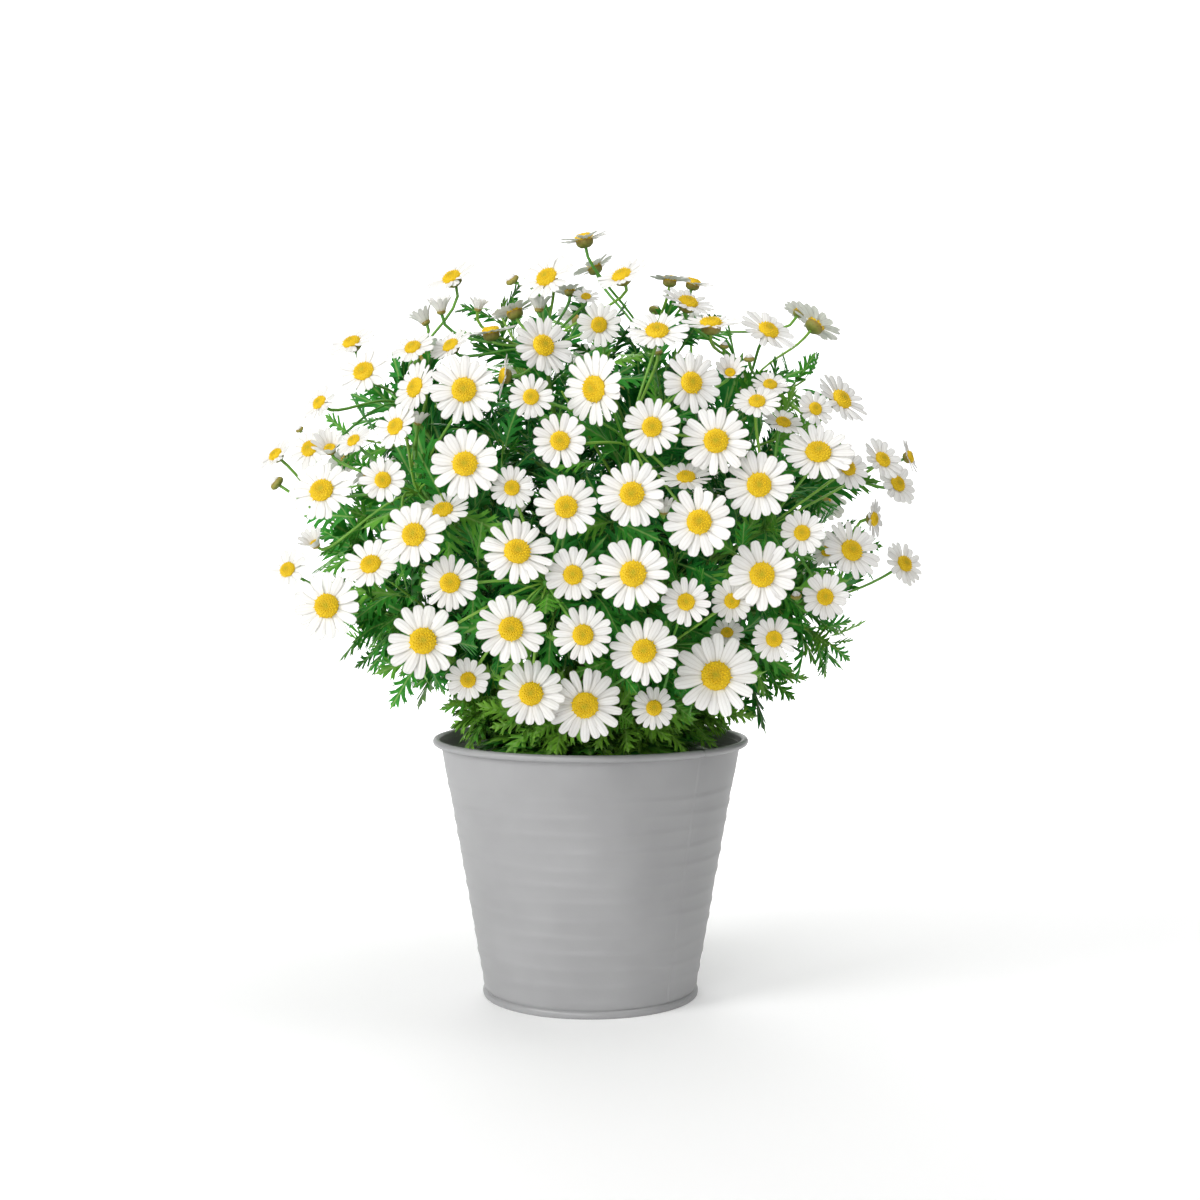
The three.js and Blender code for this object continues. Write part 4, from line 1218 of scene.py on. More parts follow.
@dataclass
class FlowerHead:
    """One flower with its stalk, drawn out in full from its place in the plan.

    Shapes are worked out in shares of the flower's radius, about its facing, and then set in the
    bush. Each property of a petal varies from one to the next by a draw of its own.
    """

    flower: Flower
    petal_along: tuple[float, ...] = (0.0, 0.22, 0.48, 0.72, 0.9, 1.0)
    petal_width: tuple[float, ...] = (0.44, 0.74, 0.97, 0.99, 0.81, 0.44)
    petal_across: tuple[float, ...] = (-1.0, -0.5, 0.0, 0.5, 1.0)
    petal_root: float = 0.27
    petal_reach: float = 1.03
    petal_overlap: float = 0.72
    petal_thickness: float = 0.03
    layer_gap: float = 0.032
    ridge: float = 0.012
    arch: float = 0.03
    open_lift: float = 0.085
    half_open_root: float = 0.33
    half_open_lift: float = 0.9
    half_open_petals: int = 12
    half_open_curl: float = 0.25
    disc_share: float = 0.35
    disc_rise: float = 0.2
    florets_on_disc: int = 84
    floret_sides: int = 5
    large_radius: float = 16.5
    stalk_rings: int = 10
    stalk_ease: float = 0.3

    @property
    def seed(self) -> int:
        """The number that all of this flower's draws start from."""
        return self.flower.index

    def axes(self) -> Array:
        """The flower's own directions, with its first petal off the stalk's bend.

        Returns:
            Rows: the direction of the first petal, the one beside it, and the facing.
        """
        flower = self.flower
        straight = len(flower.route) == 2
        run = flower.facing if straight else unit(flower.route[-1] - flower.route[0])
        hint = np.array([spread(self.seed, 7, 1.0), spread(self.seed, 8, 1.0), 0.4])
        start = square_to(flower.facing, square_to(run, hint))
        return np.stack([start, np.cross(flower.facing, start), flower.facing])

    def placed(self, local: Array) -> Array:
        """Points in shares of the flower's radius, set in the bush."""
        return self.flower.at + self.flower.radius * (local @ self.axes())

    def turned_part(self, profile: Array, sides: int, tones: Array, finish: int,
                    ripple: float = 0.0, stripe: float = 0.0) -> Surface:
        """A round part: a profile lathed about the facing, with every other corner drawn in.

        Args:
            profile: (rings, 2) radius and height, from the foot to the top.
            sides: corners round each ring.
            tones: one per ring, and then those of the foot's and the top's pole.
            finish: which material.
            ripple: how far every other corner is drawn in, as a share.
            stripe: how much the tone of those between is raised.

        Returns:
            The part.
        """
        local = lathed(profile, sides)
        odd = np.append(np.tile(np.arange(sides), len(profile)), [0, 0]) % 2
        local[:, :2] *= np.where(odd, 1.0, 1.0 - ripple)[:, None]
        tone = np.append(np.repeat(tones[:-2], sides), tones[-2:]) + stripe * odd
        return Surface(self.placed(local), *ring_mesh(len(profile), sides), tone, finish)

    def petal_count(self) -> int:
        """How many ray petals the flower has.

        Returns:
            15 to 18 on a large flower, 13 to 16 on a small one, and 12 on one that is half open.
        """
        if self.flower.kind is Kind.HALF:
            return self.half_open_petals
        least = 15 if self.flower.radius > self.large_radius else 13
        return least + int(draw(self.seed, 21) * 4)

    def petals(self) -> Surface:
        """The ray petals: grooved blades with blunt tips, in two layers.

        Each is a grid of points. Along it, the blade widens from its root and narrows to the tip.
        Across it, two low ridges and a middle groove rise by a cos(2 pi w), less b w^2. An open
        petal lies out and lifts a little: its height is lift (1.5 u - 0.5 u^2). One that is half
        open stands up: its height is nearly lift u, and it curls in at its edges by c w^2.

        Returns:
            All the petals, each a closed blade.
        """
        count, half = self.petal_count(), self.flower.kind is Kind.HALF
        order = np.arange(count)
        seeds = self.seed * 37 + order
        along, across = np.array(self.petal_along), np.array(self.petal_across)
        u, w = np.meshgrid(along, across, indexing="ij")
        # The tip is rounded by a share of its edges, with a small notch in the middle.
        u = u - np.where(u > 0.99, 0.06 * w * w + 0.025 * (np.abs(w) < 0.25), 0.0)
        wide = np.interp(u, along, self.petal_width) * w

        turn = 2 * math.pi * order / count + spread(seeds, 22, 0.07)
        reach = (self.petal_reach - 0.12 * draw(seeds, 23) ** 2)[:, None, None]
        half_width = math.pi * self.petal_overlap / count * (1.05 + spread(seeds, 24, 0.14))
        half_width = half_width[:, None, None]
        twist = spread(seeds, 25, 0.16)[:, None, None]
        side = half_width * wide
        ridge = self.ridge * np.cos(2 * math.pi * w) * smooth(u * 3) - self.arch * w * w
        thick = self.petal_thickness * (1 - w * w) * (1 - 0.5 * u)
        if half:
            lift = (self.half_open_lift + spread(seeds, 26, 0.07))[:, None, None]
            radial = self.half_open_root + (reach - self.half_open_root) * u**1.3
            radial = radial - self.half_open_curl * side * side / half_width - ridge
            height = (lift + 0.05) * u**0.9 - 0.05
            low = (radial + thick, side, height)
        else:
            bend = spread(self.seed, 27, 0.045)
            lift = (self.open_lift + bend + spread(seeds, 26, 0.035))[:, None, None]
            layer = (np.where(order % 2, -0.5, 0.5) * self.layer_gap)[:, None, None]
            radial = self.petal_root + (reach - self.petal_root) * u
            height = lift * (1.5 * u - 0.5 * u * u) + layer + ridge + side * twist
            low = (radial, side, height - thick)
        corners, faces, uv, back = self.blade((radial, side, height), low, turn, u, w)
        shade = 0.5 * draw(seeds, 28)
        return Surface.repeated(corners, faces, uv, np.where(back, 1.0, shade[:, None]), 0)

    def blade(self, high: tuple[Array, ...], low: tuple[Array, ...], turn: Array,
              u: Array, w: Array) -> tuple[Array, Array, Array, Array]:
        """Closes the petals' grids into thin blades whose two faces share their edges.

        Args:
            high: (petals, along, across) the upper face's reach, side and height.
            low: the same three for the lower face.
            turn: each petal's turn round the flower.
            u: the grid along one petal.
            w: the grid across it.

        Returns:
            The corners in mm, the faces, the UV and which corners are on the lower face.
        """
        rows, columns = u.shape
        shape = (len(turn), rows, columns)
        top = np.arange(rows * columns).reshape(rows, columns)
        inner = np.zeros((rows, columns), bool)
        inner[1:-1, 1:-1] = True
        bottom = top.copy()
        bottom[inner] = rows * columns + np.arange(inner.sum())
        # The upper face's values, then those of the lower face's inner points
        out, across, up = (
            np.concatenate(
                [
                    np.broadcast_to(upper, shape).reshape(len(turn), -1),
                    np.broadcast_to(lower, shape)[:, inner],
                ], 1,
            )
            for upper, lower in zip(high, low)
        )
        cos, sin = np.cos(turn)[:, None], np.sin(turn)[:, None]
        local = np.stack([out * cos - across * sin, out * sin + across * cos, up], -1)
        faces = np.vstack([grid_faces(top, True), grid_faces(bottom, True)[:, ::-1]])
        uv = np.stack([0.5 + 0.5 * w, u], -1)
        uv = np.vstack([uv.reshape(-1, 2), uv[inner]])
        back = np.arange(len(uv)) >= rows * columns
        return self.placed(local), faces, uv, back

    def disc(self) -> Surface:
        """The dome in the middle.

        Returns:
            A low lathed cap, a little sunk at its centre.
        """
        share, rise = self.disc_share, self.disc_rise
        profile = np.array(
            [
                [0.9 * share, -0.06], [1.02 * share, 0.02],
                [0.98 * share, 0.5 * rise], [0.72 * share, 0.86 * rise],
                [0.36 * share, 0.92 * rise], [0.1 * share, 0.86 * rise],
            ]
        )
        tones = 0.15 + 0.55 * (np.append(profile[:, 0], [0, 0]) / share)
        return self.turned_part(profile, 16, tones, 1)

    def florets(self) -> Surface:
        """The disc's tiny florets: small five-sided points in a sunflower spiral.

        Floret i stands at a distance that grows as the root of i, turned by the golden angle. The
        outer ones lean out, stand lower and are longer.

        Returns:
            All the florets, each a ring with a tip above it and a foot below.
        """
        count, sides = self.florets_on_disc, self.floret_sides
        order = np.arange(count)
        share = np.sqrt((order + 0.5) / count)
        turn = order * GOLDEN_TURN + self.seed
        reach = share * self.disc_share * 0.98
        level = self.disc_rise * (0.9 - 0.04 * (1 - share) - 0.75 * share**5)
        lean = 0.25 + 1.0 * share**4
        base = np.stack([reach * np.cos(turn), reach * np.sin(turn), level], -1)
        outward = np.stack([np.cos(turn), np.sin(turn), np.zeros(count)], -1)
        up = unit(outward * lean[:, None] + UP * (1.1 - 0.6 * share[:, None] ** 4))
        first = unit(np.cross(up, np.stack([-np.sin(turn), np.cos(turn), 0.1 * share], -1)))
        second = np.cross(up, first)
        size = self.disc_share * 1.35 / math.sqrt(count) * (0.85 + 0.3 * draw(order, 31))
        ring = base[:, None] + 0.72 * size[:, None, None] * around(
            even_turns(sides), first[:, None], second[:, None]
        )
        tip = base + up * (size * (0.9 + 0.5 * share))[:, None]
        foot = base - up * (0.3 * size)[:, None]
        local = np.concatenate([ring, tip[:, None], foot[:, None]], 1)
        corner = np.arange(sides)
        after = (corner + 1) % sides
        faces = np.vstack(
            [
                np.stack([corner, after, np.full(sides, sides)], 1),
                np.stack([after, corner, np.full(sides, sides + 1)], 1),
            ]
        )
        tone = 0.1 + 0.75 * smooth(share * 1.3) + 0.15 * draw(order, 32)
        tones = np.repeat(tone[:, None] * 0.85, sides + 2, 1)
        tones[:, sides] = tone
        return Surface.repeated(self.placed(local), faces, np.full((sides + 2, 2), 0.5), tones, 1)

    def cup(self) -> Surface:
        """The green cup under the petals.

        Returns:
            A lathed cup with a scalloped row of scale-like bracts.
        """
        radii = [0.07, 0.2, 0.31, 0.345, 0.33, 0.2]
        levels = [-0.345, -0.325, -0.24, -0.14, -0.05, -0.03]
        tones = np.array([0.0, 0.1, 0.45, 0.6, 0.9, 0.9, 0.0, 0.9])
        profile = np.stack([radii, levels], 1)
        return self.turned_part(profile, 14, tones, 2, ripple=0.06, stripe=0.1)

    def bud(self) -> list[Surface]:
        """A closed bud.

        Returns:
            A green scaly egg, and the petals' white tips in a blunt tuft.
        """
        egg = np.array(
            [[0.2, -0.34], [0.62, -0.28], [0.93, -0.08], [1.0, 0.14], [0.86, 0.42], [0.6, 0.56]]
        )
        tuft = np.array([[0.6, 0.3], [0.74, 0.5], [0.62, 0.78], [0.36, 1.0], [0.12, 1.08]])
        scaly = np.array([0.0, 0.1, 0.3, 0.5, 0.7, 0.8, 0.0, 0.8])
        white = np.array([0.4, 0.3, 0.2, 0.1, 0.0, 0.4, 0.0])
        return [
            self.turned_part(egg, 12, scaly, 2, ripple=0.05),
            self.turned_part(tuft, 12, white, 0, ripple=0.12),
        ]

    def stalk(self, shoot: Shoot) -> Surface:
        """The stalk, from the shoot's tip to the cup, as a cubic curve through its bend.

        The curve leaves along the shoot, arrives along the flower's facing, and both of its inner
        points move by the same amount so that its middle passes the bend.

        Args:
            shoot: the shoot that it grows on.

        Returns:
            A tube that is thinner at its root.
        """
        flower = self.flower
        foot = flower.cup_foot() + flower.facing * 0.5
        centre = shoot.tip + shoot.direction * (SEAT_GAP + KNOT_LENGTH - 1)
        first = shoot.tip + shoot.direction * SEAT_GAP + 0.2 * (flower.root - centre)
        ends = (flower.route[0] + flower.route[-1]) / 2
        bend = flower.route[1] if len(flower.route) == 3 else ends
        ease = self.stalk_ease * float(np.linalg.norm(foot - flower.root))
        leave, arrive = first + shoot.direction * ease, foot - flower.facing * ease
        shift = ((8 * bend - first - foot) / 3 - leave - arrive) / 2
        leave, arrive = leave + shift * 0.9, arrive + shift * 0.9
        t = np.linspace(0, 1, self.stalk_rings)[:, None]
        line = (
            (1 - t) ** 3 * first + 3 * t * (1 - t) ** 2 * leave
            + 3 * t * t * (1 - t) * arrive + t**3 * foot
        )
        sideways = square_to(unit(foot - first), ASIDE)
        radii = STALK_RADIUS * (0.6 + 0.4 * t[:, 0])
        tone = 0.2 + 0.8 * draw(self.seed, 35)
        return tubes(line[None], sideways[None], radii, 6, 3, tone)

    def surfaces(self, shoot: Shoot) -> list[Surface]:
        """All of this flower's parts.

        Args:
            shoot: the shoot that it grows on.

        Returns:
            Their surfaces.
        """
        if self.flower.kind is Kind.BUD:
            return [*self.bud(), self.stalk(shoot)]
        return [self.petals(), self.disc(), self.florets(), self.cup(), self.stalk(shoot)]


@dataclass
class FlowerSpray:
    """The flowers of one shoot, with their stalks and the knot that they part from."""

    number: int
    shoot: Shoot

    def build(self) -> None:
        """Puts the spray down as one piece in place of its CAD solid."""
        surfaces = [self.knot()]
        for flower in self.shoot.flowers:
            surfaces.extend(FlowerHead(flower).surfaces(self.shoot))
        name = f"flower_spray_{self.number:02d}"
        piece = put_down(f"{name}_detail", surfaces, [PETAL, DISC, CUP, STALK])
        stand_in(piece, "flowers", name)

    def knot(self) -> Surface:
        """The short swelling at the shoot's tip that the stalks grow out of.

        Returns:
            Its surface, narrower at both ends.
        """
        along = np.array([0.0, 0.3, 0.6, 0.85, 1.0]) * (KNOT_LENGTH * 0.8)
        line = self.shoot.tip + self.shoot.direction * (SEAT_GAP + along[:, None])
        radii = np.array([1.7, 2.3, 2.7, 2.2, 0.9])
        sideways = square_to(self.shoot.direction, UP)
        return tubes(line[None], sideways[None], radii, 8, 3, 0.3)


# ---------------------------------------------------------------- leafy shoots


@dataclass
class LeafShape:
    """A finely cut leaf in shares of its length: x along its rib and y to its left."""

    points: Array
    lift: Array
    faces: Array

    @classmethod
    def cut(cls, lobes: tuple[tuple[float, float, float, bool], ...]) -> "LeafShape":
        """Draws the leaf and closes it: both faces share the edge and part at the rib.

        Each side has its lobes, which lean forward, a toothed one with a notch in its end.

        Args:
            lobes: (place on the rib, length, lean in degrees, whether toothed) from the root.

        Returns:
            The shape, with its upper and lower face.
        """
        ribs = [(place, 0.0) for place, *_ in lobes] + [(0.875, 0.0)]
        edge: list[tuple[float, float]] = []
        fans: list[tuple[int, list[int]]] = []
        joins: list[tuple[int, int]] = []
        for hand in (1, -1):
            edge += [(0.0, 0.012 * hand), (lobes[0][0] - 0.07, 0.02 * hand)]
            last = len(edge) - 1
            for number, (place, length, lean, toothed) in enumerate(lobes):
                tip = math.radians(lean + 3 * hand)
                ahead, aside = math.cos(tip), math.sin(tip)
                outline = [(0.45, 0.032), (0.9, 0.05), (0.76, 0.004)] if toothed else [(0.5, 0.03)]
                outline += [(1.0, -0.008), (0.5, -0.034)]
                first = len(edge)
                for out, back in outline:
                    x = place + 0.01 * hand + out * length * ahead - back * aside
                    edge.append((x, hand * (out * length * aside + back * ahead)))
                edge.append((place + 0.075, 0.03 * hand))
                fans.append((number, [last, *range(first, len(edge))]))
                last = len(edge) - 1
                joins.append((number, last))
            edge += [(0.9, 0.055 * hand), (0.93, 0.022 * hand)]
            fans.append((len(lobes), [last, len(edge) - 2, len(edge) - 1, -1]))
        foot, point = len(edge), len(edge) + 1
        edge += [(0.0, 0.0), (1.0, 0.0)]
        base = len(edge)
        top = []
        half = foot // 2
        for side, reverse in ((0, True), (1, False)):
            start = side * half
            triangles = [(foot, start, base), (start, start + 1, base)]
            for rib, fan in fans[side * (len(lobes) + 1) : (side + 1) * (len(lobes) + 1)]:
                ring = [point if corner < 0 else corner for corner in fan]
                triangles += [(base + rib, a, b) for a, b in zip(ring, ring[1:])]
            for rib, sinus in joins[side * len(lobes) : (side + 1) * len(lobes)]:
                triangles.append((base + rib, sinus, base + rib + 1))
            top += [t[::-1] if reverse else t for t in triangles]
        upper = np.array(top)
        lower = np.where(upper >= base, upper + len(ribs), upper)[:, ::-1]
        lift = np.concatenate([np.zeros(base), np.ones(len(ribs)), -np.ones(len(ribs))])
        return cls(np.array(edge + ribs + ribs), lift, np.vstack([upper, lower]))


LEAF_SHAPE = LeafShape.cut(
    (
        (0.29, 0.25, 54, False), (0.45, 0.31, 51, True),
        (0.61, 0.28, 47, True), (0.76, 0.19, 42, False),
    )
)


@dataclass
class Leaves:
    """A number of leaves, each by its root, its direction, its upper side and its size in mm."""

    root: Array
    along: Array
    normal: Array
    length: Array
    droop: Array
    fold: Array
    tone: Array
    half_thickness: float = 0.3

    # What is held for each leaf, in the order of the fields
    each_leaf = ("root", "along", "normal", "length", "droop", "fold", "tone")

    def corners(self) -> Array:
        """The leaves in the bush: each sinks by droop x^2 + fold |y|, with a low wave in it.

        Returns:
            (leaves, corners, 3) places in mm.
        """
        x, y = LEAF_SHAPE.points.T
        side = np.cross(self.normal, self.along)
        length = self.length[:, None]
        wave = 0.012 * np.sin(9 * x + 7 * np.abs(y) + 6.3 * self.tone[:, None])
        sink = self.droop[:, None] * x * x + self.fold[:, None] * np.abs(y) - wave * (x > 0)
        level = self.half_thickness * LEAF_SHAPE.lift - length * sink
        return (
            self.root[:, None]
            + (length * x)[..., None] * self.along[:, None]
            + (length * y)[..., None] * side[:, None]
            + level[..., None] * self.normal[:, None]
        )

    def chosen(self, which: Array) -> "Leaves":
        """Only some of the leaves."""
        return Leaves(*(getattr(self, name)[which] for name in self.each_leaf))

    @classmethod
    def joined(cls, groups: list["Leaves"]) -> "Leaves":
        """The leaves of several groups as one."""
        return cls(*(np.concatenate([getattr(g, n) for g in groups]) for n in cls.each_leaf))

    def surface(self) -> Surface:
        """The leaves as closed blades."""
        x, y = LEAF_SHAPE.points.T
        uv = np.stack([0.5 + y, x], -1)
        return Surface.repeated(self.corners(), LEAF_SHAPE.faces, uv, self.tone, 0)


@dataclass
class Room:
    """The room that leaves may grow in: clear of flowers and pot, and inside the bush."""

    plan: BushPlan
    flower_margin: float = 0.8
    rim_clear: float = 172.5
    wall_inside: float = 95.0
    soil_clear: float = 151.5
    highest_level: float = 0.97
    low_level: float = 1.22
    low_height: float = 235.0
    low_fade: float = 40.0
    mouth_top: float = 190.0
    leaf_reach: float = 40.0
    most_hiding: int = 2

    def clear(self, corners: Array) -> Array:
        """Whether each leaf is clear.

        Args:
            corners: (leaves, corners, 3) in mm.

        Returns:
            One truth value per leaf.
        """
        radius = np.hypot(corners[..., 0], corners[..., 1])
        height = corners[..., 2]
        within = radius < self.wall_inside
        potted = (height > self.rim_clear) | (within & (height > self.soil_clear))
        low = np.clip((self.low_height - height) / self.low_fade, 0, 1)
        limit = self.highest_level + (self.low_level - self.highest_level) * low
        covered = (self.plan.dome.level(corners) < limit) | (within & (height < self.mouth_top))
        good = (potted & covered).all(1)
        middle = corners.mean(1)
        for flower in self.plan.flowers:
            apart = np.linalg.norm(middle - flower.at, axis=-1)
            near = good & (apart < flower.radius + self.leaf_reach)
            if near.any():
                meets = flower.holds(corners[near], self.flower_margin).any(1)
                meets |= flower.hidden_by(corners[near]).sum(1) > self.most_hiding
                good[np.flatnonzero(near)[meets]] = False
        return good


@dataclass
class LeafyShoot:
    """A shoot's stem with its twigs and all its leaves.

    Each leaf varies from the next by draws of its own. A pair of sizes for the skirt holds that of
    its arching leaves and that of those that fan out.
    """

    number: int
    shoot: Shoot
    room: Room
    twigs: int = 5
    main_leaves: int = 28
    twig_leaves: int = 11
    low_twigs: int = 5
    low_leaves: int = 26
    attempts: int = 9
    low_size: float = 0.8
    twig_size: float = 0.82
    stem_radius: float = 2.3
    twig_radius: float = 1.1
    stem_rings: int = 9
    skirt_leaves: int = 26
    skirt_reach: float = 6.8
    skirt_rise: tuple[float, float] = (25.0, 11.0)
    skirt_height: tuple[float, float] = (163.0, 169.0)
    skirt_length: tuple[float, float] = (64.0, 70.0)
    skirt_droop: tuple[float, float] = (0.44, 0.03)

    # Leaves of the CAD solid that grew at a later try than the first: (shoot, round): try
    later_tries = {
        (3, 0): 4, (3, 3): 1, (4, 0): 2, (8, 0): 1, (11, 0): 3, (13, 0): 3, (13, 2): 1,
        (16, 1): 1, (19, 0): 1, (20, 0): 1, (21, 1): 1, (22, 3): 1, (23, 0): 1, (23, 2): 1,
        (24, 4): 1, (26, 3): 1, (26, 5): 1, (27, 4): 1, (28, 5): 2,
    }

    @property
    def seed(self) -> int:
        """The number that all of this shoot's draws start from."""
        return self.number * 613

    def frame(self) -> tuple[Array, Array]:
        """Two unit vectors square to the stem."""
        start = square_to(self.shoot.direction, UP)
        return start, np.cross(self.shoot.direction, start)

    def on_stem(self, share: Array | float) -> Array:
        """Points on the stem's middle line.

        Args:
            share: from 0 at its foot to 1 at its tip.

        Returns:
            The points in mm, one per share.
        """
        shoot = self.shoot
        distance = shoot.start + np.asarray(share)[..., None] * (shoot.reach - shoot.start)
        return shoot.origin + distance * shoot.direction

    @staticmethod
    def set_out(root: Array, direction: Array, outward: Array, pitch: Array) -> tuple[Array, ...]:
        """Leaves' roots, directions and upper sides, by where they leave a stem and how steeply."""
        along = direction * np.cos(pitch)[:, None] + outward * np.sin(pitch)[:, None]
        return root, along, np.cross(along, np.cross(direction, outward))

    def first_leaves(self) -> Leaves:
        """The large leaves, where those of the CAD solid are.

        Returns:
            Six on a low shoot, and four on a high one.
        """
        rounds = np.arange(6 if self.shoot.low else 4)
        tries = np.array([self.later_tries.get((self.number, int(r)), 0) for r in rounds])
        seeds = (self.number - 1) * 977 + rounds * 89 + tries
        share = np.minimum(0.98, 0.95 - 0.1 * rounds + spread(seeds, 11, 0.06))
        turn = rounds * 2.4 + (self.number - 1) * 0.9 + spread(seeds, 12, 0.7 + tries * 0.04)
        outward = around(turn, *self.frame())
        pitch = np.radians(24 + 36 * draw(seeds, 13))
        placed = self.set_out(
            self.on_stem(share) + 0.9 * outward, self.shoot.direction, outward, pitch
        )
        length = 46 + 18 * draw(seeds, 14) - 0.4 * tries
        length = length * (0.75 if self.shoot.low else 1.0)
        droop = 0.1 + 0.2 * draw(seeds, 15)
        fold = np.full(len(rounds), 0.2)
        return Leaves(*placed, length, droop, fold, self.tones(seeds, placed[0]))

    def tones(self, seeds: Array, root: Array) -> Array:
        """Painted light and shade: lighter greens near the outside of the bush and in the pot's
        mouth, darker ones inside, and a random part.

        Args:
            seeds: one number per leaf.
            root: (leaves, 3) where they grow.

        Returns:
            The leaves' tones.
        """
        # Painted shade deep in the bush, where the dome's level is low, and painted light in the
        # pot's mouth
        out = smooth((self.room.plan.dome.level(root) - 0.1) / 0.5)
        mouth_painted_light = 0.25 if self.shoot.low else 0.0
        return np.clip(0.1 + mouth_painted_light + 0.45 * out + 0.42 * draw(seeds, 41), 0, 1)

    def skirt(self) -> Leaves:
        """Broad leaves low in the pot's mouth, from the foot of the trunk.

        Every other one arches down to the rim, and the rest fan out above. Together they fill this
        shoot's part of the mouth.

        Returns:
            The leaves that found room.
        """
        count = self.skirt_leaves
        order = np.arange(count)
        seeds = self.seed + 307 + 11 * order
        arching = order % 2 == 0
        heading = math.atan2(self.shoot.direction[1], self.shoot.direction[0])
        turn = (order + 0.5 - count / 2) / count * 2 * math.pi / self.room.plan.low_shoots
        turn = heading + turn + spread(seeds, 81, 0.1)
        rise = np.radians(np.where(arching, *self.skirt_rise) + spread(seeds, 82, 6.0))
        flat = np.stack([np.cos(turn), np.sin(turn), np.zeros(count)], -1)
        along = flat * np.cos(rise)[:, None] + UP * np.sin(rise)[:, None]
        across = np.stack([-np.sin(turn), np.cos(turn), np.zeros(count)], -1)
        height = np.where(arching, *self.skirt_height) + spread(seeds, 83, 3.0)
        root = flat * self.skirt_reach + UP * height[:, None]
        length = np.where(arching, *self.skirt_length) + 14 * draw(seeds, 84)
        droop = np.where(arching, *self.skirt_droop) + spread(seeds, 86, 0.08)
        # The skirt's tones are kept light, from 0.5 to 1: painted light in the pot's mouth, where
        # shade falls
        fold, tone = 0.02 + 0.16 * draw(seeds, 87), 0.5 + 0.5 * draw(seeds, 85)
        leaves = Leaves(root, along, np.cross(along, across), length, droop, fold, tone)
        return leaves.chosen(self.room.clear(leaves.corners()))

    def grown(self, base: Array, tip: Array, seeds: Array, share: Array, size: float) -> Leaves:
        """Fine leaves along a stem or twig, each at the first of several tries that is clear.

        Args:
            base: the foot of the stem.
            tip: its end.
            seeds: one number per leaf.
            share: where on the stem each leaf grows.
            size: 1 for leaves of the main stem.

        Returns:
            The leaves that found room.
        """
        direction = unit(tip - base)
        start = square_to(direction, UP)
        side = np.cross(direction, start)
        grown: list[Leaves] = []
        left = np.arange(len(seeds))
        for attempt in range(self.attempts):
            if not len(left):
                break
            now = seeds[left] + attempt * 17
            place = np.clip(share[left] + spread(now, 51, 0.04 + 0.02 * attempt), 0.03, 1.0)
            turn = left * GOLDEN_TURN + self.number * 1.7 + spread(now, 52, 0.4 + 0.3 * attempt)
            outward = around(turn, start, side)
            pitch = np.radians(62 - 36 * place + spread(now, 53, 10.0))
            root = base + (tip - base) * place[:, None] + 0.8 * outward
            length = (34 + 22 * draw(now, 54)) * size * (1 - 0.05 * attempt)
            leaves = Leaves(
                *self.set_out(root, direction, outward, pitch), length,
                0.06 + 0.3 * draw(now, 55), 0.1 + 0.25 * draw(now, 56), self.tones(now, root),
            )
            good = self.room.clear(leaves.corners())
            grown.append(leaves.chosen(good))
            left = left[~good]
        return Leaves.joined(grown)

    def twig_lines(self) -> Array:
        """Where the twigs leave the stem and where they end.

        Returns:
            (twigs, 2, 3) places in mm.
        """
        count = self.low_twigs if self.shoot.low else self.twigs
        order = np.arange(count)
        seeds = self.seed + order
        share = 0.3 + 0.62 * order / count
        turn = order * 2.2 + self.number * 1.1 + spread(seeds, 61, 0.5)
        lean = np.radians(40 + spread(seeds, 62, 9.0))[:, None]
        outward = around(turn, *self.frame())
        run = self.shoot.direction * np.cos(lean) + outward * np.sin(lean)
        if self.shoot.low:
            run = unit(run * [1, 1, 0.3] + [0, 0, 0.1])
        length = (0.34 + 0.12 * draw(seeds, 63)) * self.shoot.reach
        foot = self.on_stem(share)
        return np.stack([foot, foot + run * length[:, None]], 1)

    def stems(self, lines: Array) -> Surface:
        """The main stem and its twigs, thinner towards their tips and slightly knotty.

        Args:
            lines: (stems, 2, 3) where each starts and ends, the main stem first.

        Returns:
            Their tubes.
        """
        rings = np.arange(self.stem_rings)
        t = np.linspace(0, 1, self.stem_rings)[:, None]
        centres = lines[:, :1] * (1 - t) + lines[:, 1:] * t
        sideways = unit(np.cross(unit(lines[:, 1] - lines[:, 0]), ASIDE))
        thick = np.full((len(lines), 1), self.twig_radius)
        thick[0] = self.stem_radius
        radii = thick * (1 - 0.4 * t[:, 0]) * (1 + 0.08 * np.sin(rings * 2.4))
        return tubes(centres, sideways, radii, 7, 1, 0.2 + 0.6 * draw(np.arange(len(lines)), 64))

    def build(self) -> None:
        """Puts the shoot down as one piece in place of its CAD solid."""
        low = self.shoot.low
        stem = np.stack([self.on_stem(0.0), self.on_stem(1.0)])
        lines = np.concatenate([stem[None], self.twig_lines()])
        surfaces = [self.stems(lines), self.first_leaves().surface()]
        if low:
            surfaces.append(self.skirt().surface())
        for order, (base, tip) in enumerate(lines):
            count, first, size = self.twig_leaves, 0.25, self.twig_size
            if order == 0:
                count, first, size = self.low_leaves if low else self.main_leaves, 0.12, 1.0
            seeds = self.seed + 101 * order + 7 * np.arange(count)
            share = first + (1 - first) * (np.arange(count) + 0.5) / count
            size = (self.low_size if low else 1.0) * size
            surfaces.append(self.grown(base, tip, seeds, share, size).surface())
        name = f"leafy_shoot_{self.number:02d}"
        piece = put_down(f"{name}_detail", surfaces, [LEAF, STEM])
        stand_in(piece, "foliage", name)


# ---------------------------------------------------------------- pot, soil and trunk


